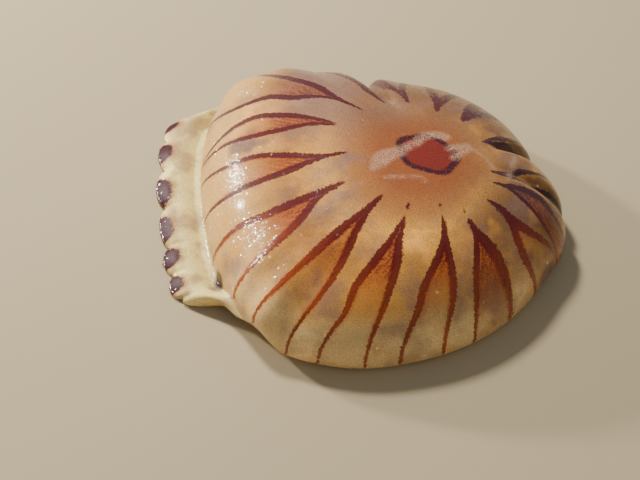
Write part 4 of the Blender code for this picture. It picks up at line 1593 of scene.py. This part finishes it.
@dataclass
class OralArms:
    """The mouth's stalk and its four long frilled arms."""

    shape: BellShape
    finish: ArmJelly = field(default_factory=ArmJelly)
    arms: int = 4
    offset: Pair = (-0.012, -0.002)
    width: float = 0.0085
    thickness: float = 0.0030
    edge_share: float = 0.30
    frill: float = 0.0012
    frill_waves: int = 9
    wave_share: float = 0.75
    wave_pace: float = 2.0
    wave_lag: float = 0.9
    fine_share: float = 0.5
    fine_pace: float = 5.0
    fine_reach: float = 0.05
    ruffle_power: float = 1.6
    ruffle_from: float = 0.02
    edge_half: float = 0.10
    midrib_half: float = 0.40
    midrib_reach: float = 0.55
    tip_rounding: float = 0.03
    least_tip: float = 0.02
    least_height: float = 0.0002
    root_share: float = 0.62
    tip_share: float = 0.45
    taper_from: float = 0.55
    landing: float = 0.24
    first: float = math.radians(40.0)
    start_radius: float = 0.0075
    end_radius: float = 0.0290
    spread: float = 0.85
    sweep: float = math.radians(205.0)
    mouth_top: float = 0.0105
    mouth_foot: float = 0.0078
    foot_height: float = 0.0135
    waist: float = 0.16
    corners: float = 0.13
    root_flare: Pair = (0.35, 0.08)
    root_depth: float = 0.001
    pleat: float = 0.03
    pleats: int = 24
    pleat_twist: float = 3.0
    stalk_nearness: float = 0.3
    stations: int = 260
    slices: int = 13
    levels: int = 40
    sides: int = 96

    @property
    def centre(self) -> Array:
        """Middle of the arms, in plan."""
        return np.array(self.shape.crown) + np.array(self.offset)

    def arm_points(self, number: int) -> tuple[Array, Array]:
        """Points of one arm: closed slices of a midrib with two thin ruffled edges.

        Args:
            number: which arm.

        Returns:
            The points, slice by slice, and how near each is to a frilled edge.
        """
        t = np.linspace(0.0, 1.0, self.stations)
        angle = self.first + 2.0 * math.pi * number / self.arms + self.sweep * t
        radius = mix(self.start_radius, self.end_radius, t**self.spread)
        high = self.foot_height - 0.5 * self.thickness
        bed = self.edge_share * self.thickness + self.frill
        height = mix(high, bed, ease(0.0, self.landing, t))
        width = self.width * mix(self.root_share, 1.0, ease(0.0, self.landing, t))
        width = width * mix(1.0, self.tip_share, ease(self.taper_from, 1.0, t))
        past = np.maximum(t - 1.0 + self.tip_rounding, 0.0) / self.tip_rounding
        width = width * np.sqrt(np.clip(1.0 - past**2, self.least_tip, 1.0))
        centre = np.stack([self.centre[0] + radius * np.cos(angle),
                           self.centre[1] + radius * np.sin(angle), height], 1)
        across = np.stack([np.cos(angle), np.sin(angle), 0.0 * angle], 1)
        place = np.linspace(-1.0, 1.0, self.slices)
        pace = 2.0 * math.pi * t * self.frill_waves
        loops = []
        nearness = []
        for side, order in ((1.0, place), (-1.0, place[::-1])):
            for u in order:
                wave = np.sin(self.wave_pace * pace + number + self.wave_lag * np.sign(u))
                fine = np.sin(self.fine_pace * pace + 2.0 * number)
                ruffle = abs(u) ** self.ruffle_power * self.frill
                ruffle = ruffle * ease(self.ruffle_from, self.landing, t)
                ruffle = ruffle * (self.wave_share * wave + self.fine_share * fine)
                midrib = max(0.0, 1.0 - (u / self.midrib_reach) ** 2)
                half = self.thickness * (self.edge_half + self.midrib_half * midrib)
                lift = np.maximum(ruffle + side * half, self.least_height - height)
                reach = 0.5 * width * u * (1.0 + self.fine_reach * fine * abs(u))
                loops.append(centre + across * reach[:, None] + np.outer(lift, (0.0, 0.0, 1.0)))
                nearness.append(np.full(len(t), abs(u)))
        points = np.stack(loops, 1)
        return points.reshape(-1, 3), np.stack(nearness, 1).ravel()

    def stalk_points(self) -> Array:
        """Points of the mouth's four-cornered stalk.

        Returns:
            The points, ring by ring from the ceiling.
        """
        t = np.linspace(0.0, 1.0, self.levels)[:, None]
        start = np.array(self.shape.crown)
        lean = ease(0.0, 1.0, t)
        top = self.shape.height - self.shape.crown_thickness
        height = mix(top + self.root_depth, self.foot_height, t)
        waist = mix(self.mouth_top, self.mouth_foot, t) * (1.0 - self.waist * np.sin(math.pi * t))
        flare, depth = self.root_flare
        waist = waist * (1.0 + flare * np.exp(-((t / depth) ** 2)))
        angle = 2.0 * math.pi * np.arange(self.sides)[None, :] / self.sides
        lobes = 1.0 + self.corners * np.cos(self.arms * (angle - self.first))
        twist = np.cos(self.pleats * angle + self.pleat_twist * t)
        radius = waist * lobes * (1.0 + self.pleat * twist * ease(0.2, 1.0, t))
        x = start[0] + lean * self.offset[0] + radius * np.cos(angle)
        y = start[1] + lean * self.offset[1] + radius * np.sin(angle)
        return np.stack([x, y, np.broadcast_to(height, x.shape)], -1).reshape(-1, 3)

    def build(self) -> bpy.types.Object:
        """Make the stalk and arms as one piece and set it in the frame.

        Returns:
            The piece.
        """
        levels, sides = self.levels, self.sides
        all_points = [self.stalk_points()]
        nearness = [np.full(levels * sides, self.stalk_nearness)]
        faces = [face[::-1] for face in grid_faces(levels, sides, True)]
        faces.append(tuple(range(sides))[::-1])
        faces.append(tuple(range((levels - 1) * sides, levels * sides)))
        for number in range(self.arms):
            start = sum(len(p) for p in all_points)
            points, near = self.arm_points(number)
            ring = 2 * self.slices
            body = grid_faces(self.stations, ring, True)
            faces += [tuple(start + k for k in face) for face in body]
            faces.append(tuple(start + k for k in range(ring)))
            faces.append(tuple(start + (self.stations - 1) * ring + k for k in range(ring))[::-1])
            all_points.append(points)
            nearness.append(near)
        arms = make_object("mouth_and_arms", np.vstack(all_points), faces, self.finish.material())
        BellSkin.write_vectors(arms.data, "frill", "POINT", np.concatenate(nearness))
        parts = ("upper", "middle", "tip")
        names = [f"oral_arm_{k + 1}_{part}" for k in range(self.arms) for part in parts]
        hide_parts("manubrium", *names)
        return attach(arms, "root")


# ---- tentacles ---------------------------------------------------------------


@dataclass
class Tentacles:
    """Twenty-four contracted tentacles, three between each two sense organs."""

    shape: BellShape
    centre: Array
    finish: TentacleJelly = field(default_factory=TentacleJelly)
    radius: float = 0.0011
    tip_share: float = 0.55
    inner_radius: float = 0.0335
    swing: float = 0.30
    pitch: float = 0.0085
    points: int = 11
    swings: float = 1.5
    long_swings: float = 3.0
    root_run: float = 1.55
    curled: float = -0.40 * math.pi
    beside_steps: int = 4
    beside_share: float = 0.35
    margin_runs: tuple[float, ...] = (0.0, 0.25, 0.5, 0.75, 1.0, 1.5, 2.0)
    gap: float = 0.0003
    rings: int = 150
    sides: int = 12
    slimness: float = 0.95
    beads: tuple[Pair, ...] = ((0.09, 34.0), (0.05, 13.0))
    tip_rounding: float = 0.015
    least_tip: float = 0.03
    start_radii: float = 3.0
    floor_radii: float = 4.0

    def from_centre(self, point: Array) -> float:
        """Plan distance of a point from the middle of the arms."""
        return float(np.linalg.norm(point[:2] - self.centre))

    def root(self, phi: float) -> tuple[Array, float]:
        """Where a tentacle leaves the margin, and how near the lappets come to the arms.

        Args:
            phi: the tentacle's meridian.

        Returns:
            The root's place, and the clear distance from the middle of the arms.
        """
        shape = self.shape
        steps = range(-self.beside_steps, self.beside_steps + 1)
        beside = self.beside_share * shape.rib_step
        neighbours = [phi + beside * k / self.beside_steps for k in steps]
        if shape.margin(np.array([phi]))[0][0] < self.curled:
            tips = [shape.spot(near, 2.0, 1.0) for near in neighbours]
            root = shape.spot(phi, self.root_run, 1.0)
            root[2] = shape.margin_thickness + self.gap + self.radius
            return root, min(self.from_centre(tip) for tip in tips) - self.radius
        inside = []
        for near in neighbours:
            for run in self.margin_runs:
                for depth in (0.0, 1.0):
                    point = shape.spot(near, run, depth)
                    if point[2] < self.floor_radii * self.radius:
                        inside.append(self.from_centre(point))
        foot = shape.spot(phi, 0.5, 1.0)
        heading = (foot[:2] - self.centre) / self.from_centre(foot)
        distance = min(inside) - self.gap
        place = self.centre + heading * distance
        return np.array([*place, self.radius]), distance - self.radius

    def bearing(self, phi: float) -> float:
        """Direction of a tentacle's root, seen from the middle of the arms."""
        offset = self.root(phi)[0][:2] - self.centre
        return math.atan2(offset[1], offset[0])

    def route(self, phi: float, swings: float, count: int) -> Array:
        """Points of a tentacle: over the lappets, down to the floor, then in bends.

        Args:
            phi: the tentacle's meridian.
            swings: most bends and back that it makes.
            count: how many points.

        Returns:
            The points, one to a row.
        """
        root, clear = self.root(phi)
        own = self.bearing(phi)
        step = 2.0 * math.pi / self.shape.lappets
        room = min(abs(wrapped(self.bearing(phi + side * step) - own)) for side in (-1.0, 1.0))
        heading = np.array([math.cos(own), math.sin(own)])
        sideways = np.array([-heading[1], heading[0]])
        ledge = self.centre + heading * clear
        start = clear - self.start_radii * self.radius
        swings = min(swings, 0.5 * round(2.0 * (start - self.inner_radius) / self.pitch))
        points = [root, np.array([*ledge, root[2]])]
        bends = count - len(points)
        for i in range(bends):
            t = i / (bends - 1)
            distance = mix(start, self.inner_radius, t)
            swing = self.swing * room * distance * math.sin(2.0 * math.pi * swings * t)
            place = self.centre + heading * distance + sideways * swing
            points.append(np.array([*place, self.radius]))
        return np.array(points)

    def tube(self, route: Array) -> Array:
        """Rings of points along a tentacle, with its beads of sting cells.

        Args:
            route: points of the tentacle's middle line.

        Returns:
            The points, ring by ring.
        """
        middle = spline(route, self.rings)
        heading = np.gradient(middle, axis=0)
        heading /= np.linalg.norm(heading, axis=1)[:, None]
        side = np.cross(heading, (0.0, 0.0, 1.0))
        side /= np.maximum(np.linalg.norm(side, axis=1), 1e-6)[:, None]
        up = np.cross(side, heading)
        t = np.linspace(0.0, 1.0, self.rings)
        beads = 1.0 + sum(rise * np.sin(2.0 * math.pi * pace * t) for rise, pace in self.beads)
        past = np.maximum(t - 1.0 + self.tip_rounding, 0.0) / self.tip_rounding
        thick = self.radius * mix(1.0, self.tip_share, t) * beads * self.slimness
        thick = (thick * np.sqrt(np.clip(1.0 - past**2, self.least_tip, 1.0)))[:, None, None]
        angle = (2.0 * math.pi * np.arange(self.sides) / self.sides)[None, :, None]
        ring = side[:, None] * np.cos(angle) + up[:, None] * np.sin(angle)
        points = middle[:, None] + ring * thick
        points[..., 2] = np.maximum(points[..., 2], 0.0)
        return points.reshape(-1, 3)

    def build(self) -> list[bpy.types.Object]:
        """Make one piece for each octant's three tentacles and set them in the frame.

        Returns:
            The pieces.
        """
        material = self.finish.material()
        pieces = []
        for octant in range(OCTANTS):
            start = self.shape.first_rib + (0.5 + 2.0 * octant) * self.shape.rib_step
            points = []
            faces = []
            for place, letter in enumerate("abc"):
                phi = start + (place + 1) * 0.5 * self.shape.rib_step
                middle = letter == "b"
                count = 2 * (self.points - 1) if middle else self.points
                route = self.route(phi, self.long_swings if middle else self.swings, count)
                points.append(self.tube(route))
                faces += tube_faces(place * self.rings * self.sides, self.rings, self.sides)
            piece = make_object(f"tentacles_{octant + 1}", np.vstack(points), faces, material)
            name = f"tentacle_{octant + 1}"
            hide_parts(name + "a", name + "b_root", name + "b_end", name + "c")
            pieces.append(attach(piece, "root"))
        return pieces


# ---- sense organs ------------------------------------------------------------


@dataclass
class SenseOrgans:
    """Eight small clubs, one in the cleft at each end of an octant."""

    shape: BellShape
    finish: SenseJelly = field(default_factory=SenseJelly)
    length: float = 0.0030
    thickness: float = 0.0013
    root_run: float = 1.9
    swell: Pair = (0.75, 1.15)
    rings: int = 14
    sides: int = 16

    def middle_of_wall(self, phi: float, run: float) -> Array:
        """Place half-way through the margin's wall."""
        return 0.5 * (self.shape.spot(phi, run, 0.0) + self.shape.spot(phi, run, 1.0))

    def build(self) -> bpy.types.Object:
        """Make the clubs as one piece and set it in the frame.

        Returns:
            The piece.
        """
        points = []
        faces = []
        for number in range(OCTANTS):
            phi = self.shape.first_rib + (0.5 + 2.0 * number) * self.shape.rib_step
            root = self.middle_of_wall(phi, self.root_run)
            tip = self.middle_of_wall(phi, 2.0)
            way = (tip - root) / np.linalg.norm(tip - root)
            side = np.cross(way, (0.0, 0.0, 1.0))
            side /= max(np.linalg.norm(side), 1e-6)
            up = np.cross(side, way)
            faces += tube_faces(len(points), self.rings, self.sides)
            for k in range(self.rings):
                t = k / (self.rings - 1)
                bulge = math.sqrt(max(1.0 - (2.0 * t - 1.0) ** 2, 0.01))
                club = 0.5 * self.thickness * bulge * mix(*self.swell, t)
                middle = root + way * self.length * t
                for j in range(self.sides):
                    angle = 2.0 * math.pi * j / self.sides
                    point = middle + club * (side * math.cos(angle) + up * math.sin(angle))
                    points.append((*point[:2], max(point[2], 0.0)))
        organs = make_object("sense_organs", np.array(points), faces, self.finish.material())
        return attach(organs, "root")


# ---- studio ------------------------------------------------------------------


@dataclass(frozen=True)
class Lamp:
    """A soft square light: the way to it, how far it hangs, its side, its watts and its tone."""

    name: str
    direction: Triple
    distance: float
    size: float
    power: float
    tone: Triple
    in_gloss: bool


@dataclass
class Studio:
    """Pale floor, soft lights and the camera."""

    shape: BellShape
    floor_finish: FloorFinish = field(default_factory=FloorFinish)
    floor_size: float = 8.0
    lens: float = 85.0
    sensor_width: float = 36.0
    clip_start: float = 0.01
    elevation: float = math.radians(50.0)
    distance: float = 0.7556
    aim: Pair = (-0.0525, -0.0105)
    world_tone: Paint = (0.93, 0.96, 1.0, 1.0)
    world_strength: float = 0.28
    lamps: tuple[Lamp, ...] = (
        Lamp("key", (-0.30, 0.50, 0.86), 1.1, 0.14, 16.0, (1.0, 0.97, 0.92), False),
        Lamp("glint", (-0.778, 0.484, 0.403), 1.1, 0.08, 14.0, (1.0, 0.94, 0.84), True),
        Lamp("spark", (-0.25, 0.60, 0.76), 1.1, 0.03, 0.5, (1.0, 1.0, 1.0), True),
        Lamp("fill", (0.35, -0.55, 0.80), 1.6, 1.4, 2.8, (0.95, 0.97, 1.0), False),
    )

    @property
    def target(self) -> Vector:
        """Point on the floor that the camera and the lights look at."""
        return Vector((self.shape.crown[0] + self.aim[0], self.shape.crown[1] + self.aim[1], 0.0))

    def add_floor(self) -> None:
        """Lay the floor."""
        half = 0.5 * self.floor_size
        corners = np.array([(-half, -half, 0.0), (half, -half, 0.0), (half, half, 0.0),
                            (-half, half, 0.0)])
        floor = make_object("floor", corners, [(0, 1, 2, 3)], self.floor_finish.material())

    def hang(self, name: str, data: bpy.types.ID, way: Vector) -> bpy.types.Object:
        """Put a lamp or camera in the scene, looking at the target.

        Args:
            name: the object's name.
            data: the lamp's or camera's data.
            way: from the target to it.

        Returns:
            The object.
        """
        obj = bpy.data.objects.new(name, data)
        bpy.context.scene.collection.objects.link(obj)
        obj.location = self.target + way
        obj.rotation_euler = (self.target - obj.location).to_track_quat("-Z", "Y").to_euler()
        return obj

    def add_lamp(self, lamp: Lamp) -> None:
        """Hang one lamp.

        Args:
            lamp: its settings.
        """
        data = bpy.data.lights.new(lamp.name, "AREA")
        data.size = lamp.size
        data.energy = lamp.power
        data.color = lamp.tone
        way = Vector(lamp.direction).normalized() * lamp.distance
        self.hang(lamp.name, data, way).visible_glossy = lamp.in_gloss

    def add_camera(self) -> None:
        """Set up the camera."""
        data = bpy.data.cameras.new("camera")
        data.lens = self.lens
        data.sensor_width = self.sensor_width
        data.clip_start = self.clip_start
        back = Vector((0.0, -math.cos(self.elevation), math.sin(self.elevation)))
        bpy.context.scene.camera = self.hang("camera", data, back * self.distance)

    def add_world(self) -> None:
        """Light the room evenly."""
        world = bpy.data.worlds.new("room")
        world.use_nodes = True
        background = world.node_tree.nodes["Background"]
        background.inputs["Color"].default_value = self.world_tone
        background.inputs["Strength"].default_value = self.world_strength
        bpy.context.scene.world = world

    def build(self) -> None:
        """Set up floor, room, lamps and camera."""
        self.add_floor()
        self.add_world()
        for lamp in self.lamps:
            self.add_lamp(lamp)
        self.add_camera()


# ---- the whole scene ---------------------------------------------------------


def report(piece: bpy.types.Object) -> None:
    """Log one piece."""
    LOG.info("%s: %d faces", piece.name, len(piece.data.polygons))


def main() -> None:
    """Build every piece in order."""
    logging.basicConfig(level=logging.INFO, format="%(name)s: %(message)s")
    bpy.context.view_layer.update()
    shape = BellShape()
    Studio(shape).build()
    report(BellSkin(shape).build())
    arms = OralArms(shape)
    report(arms.build())
    for piece in Tentacles(shape, arms.centre).build():
        report(piece)
    report(SenseOrgans(shape).build())


if __name__ == "__main__":
    main()
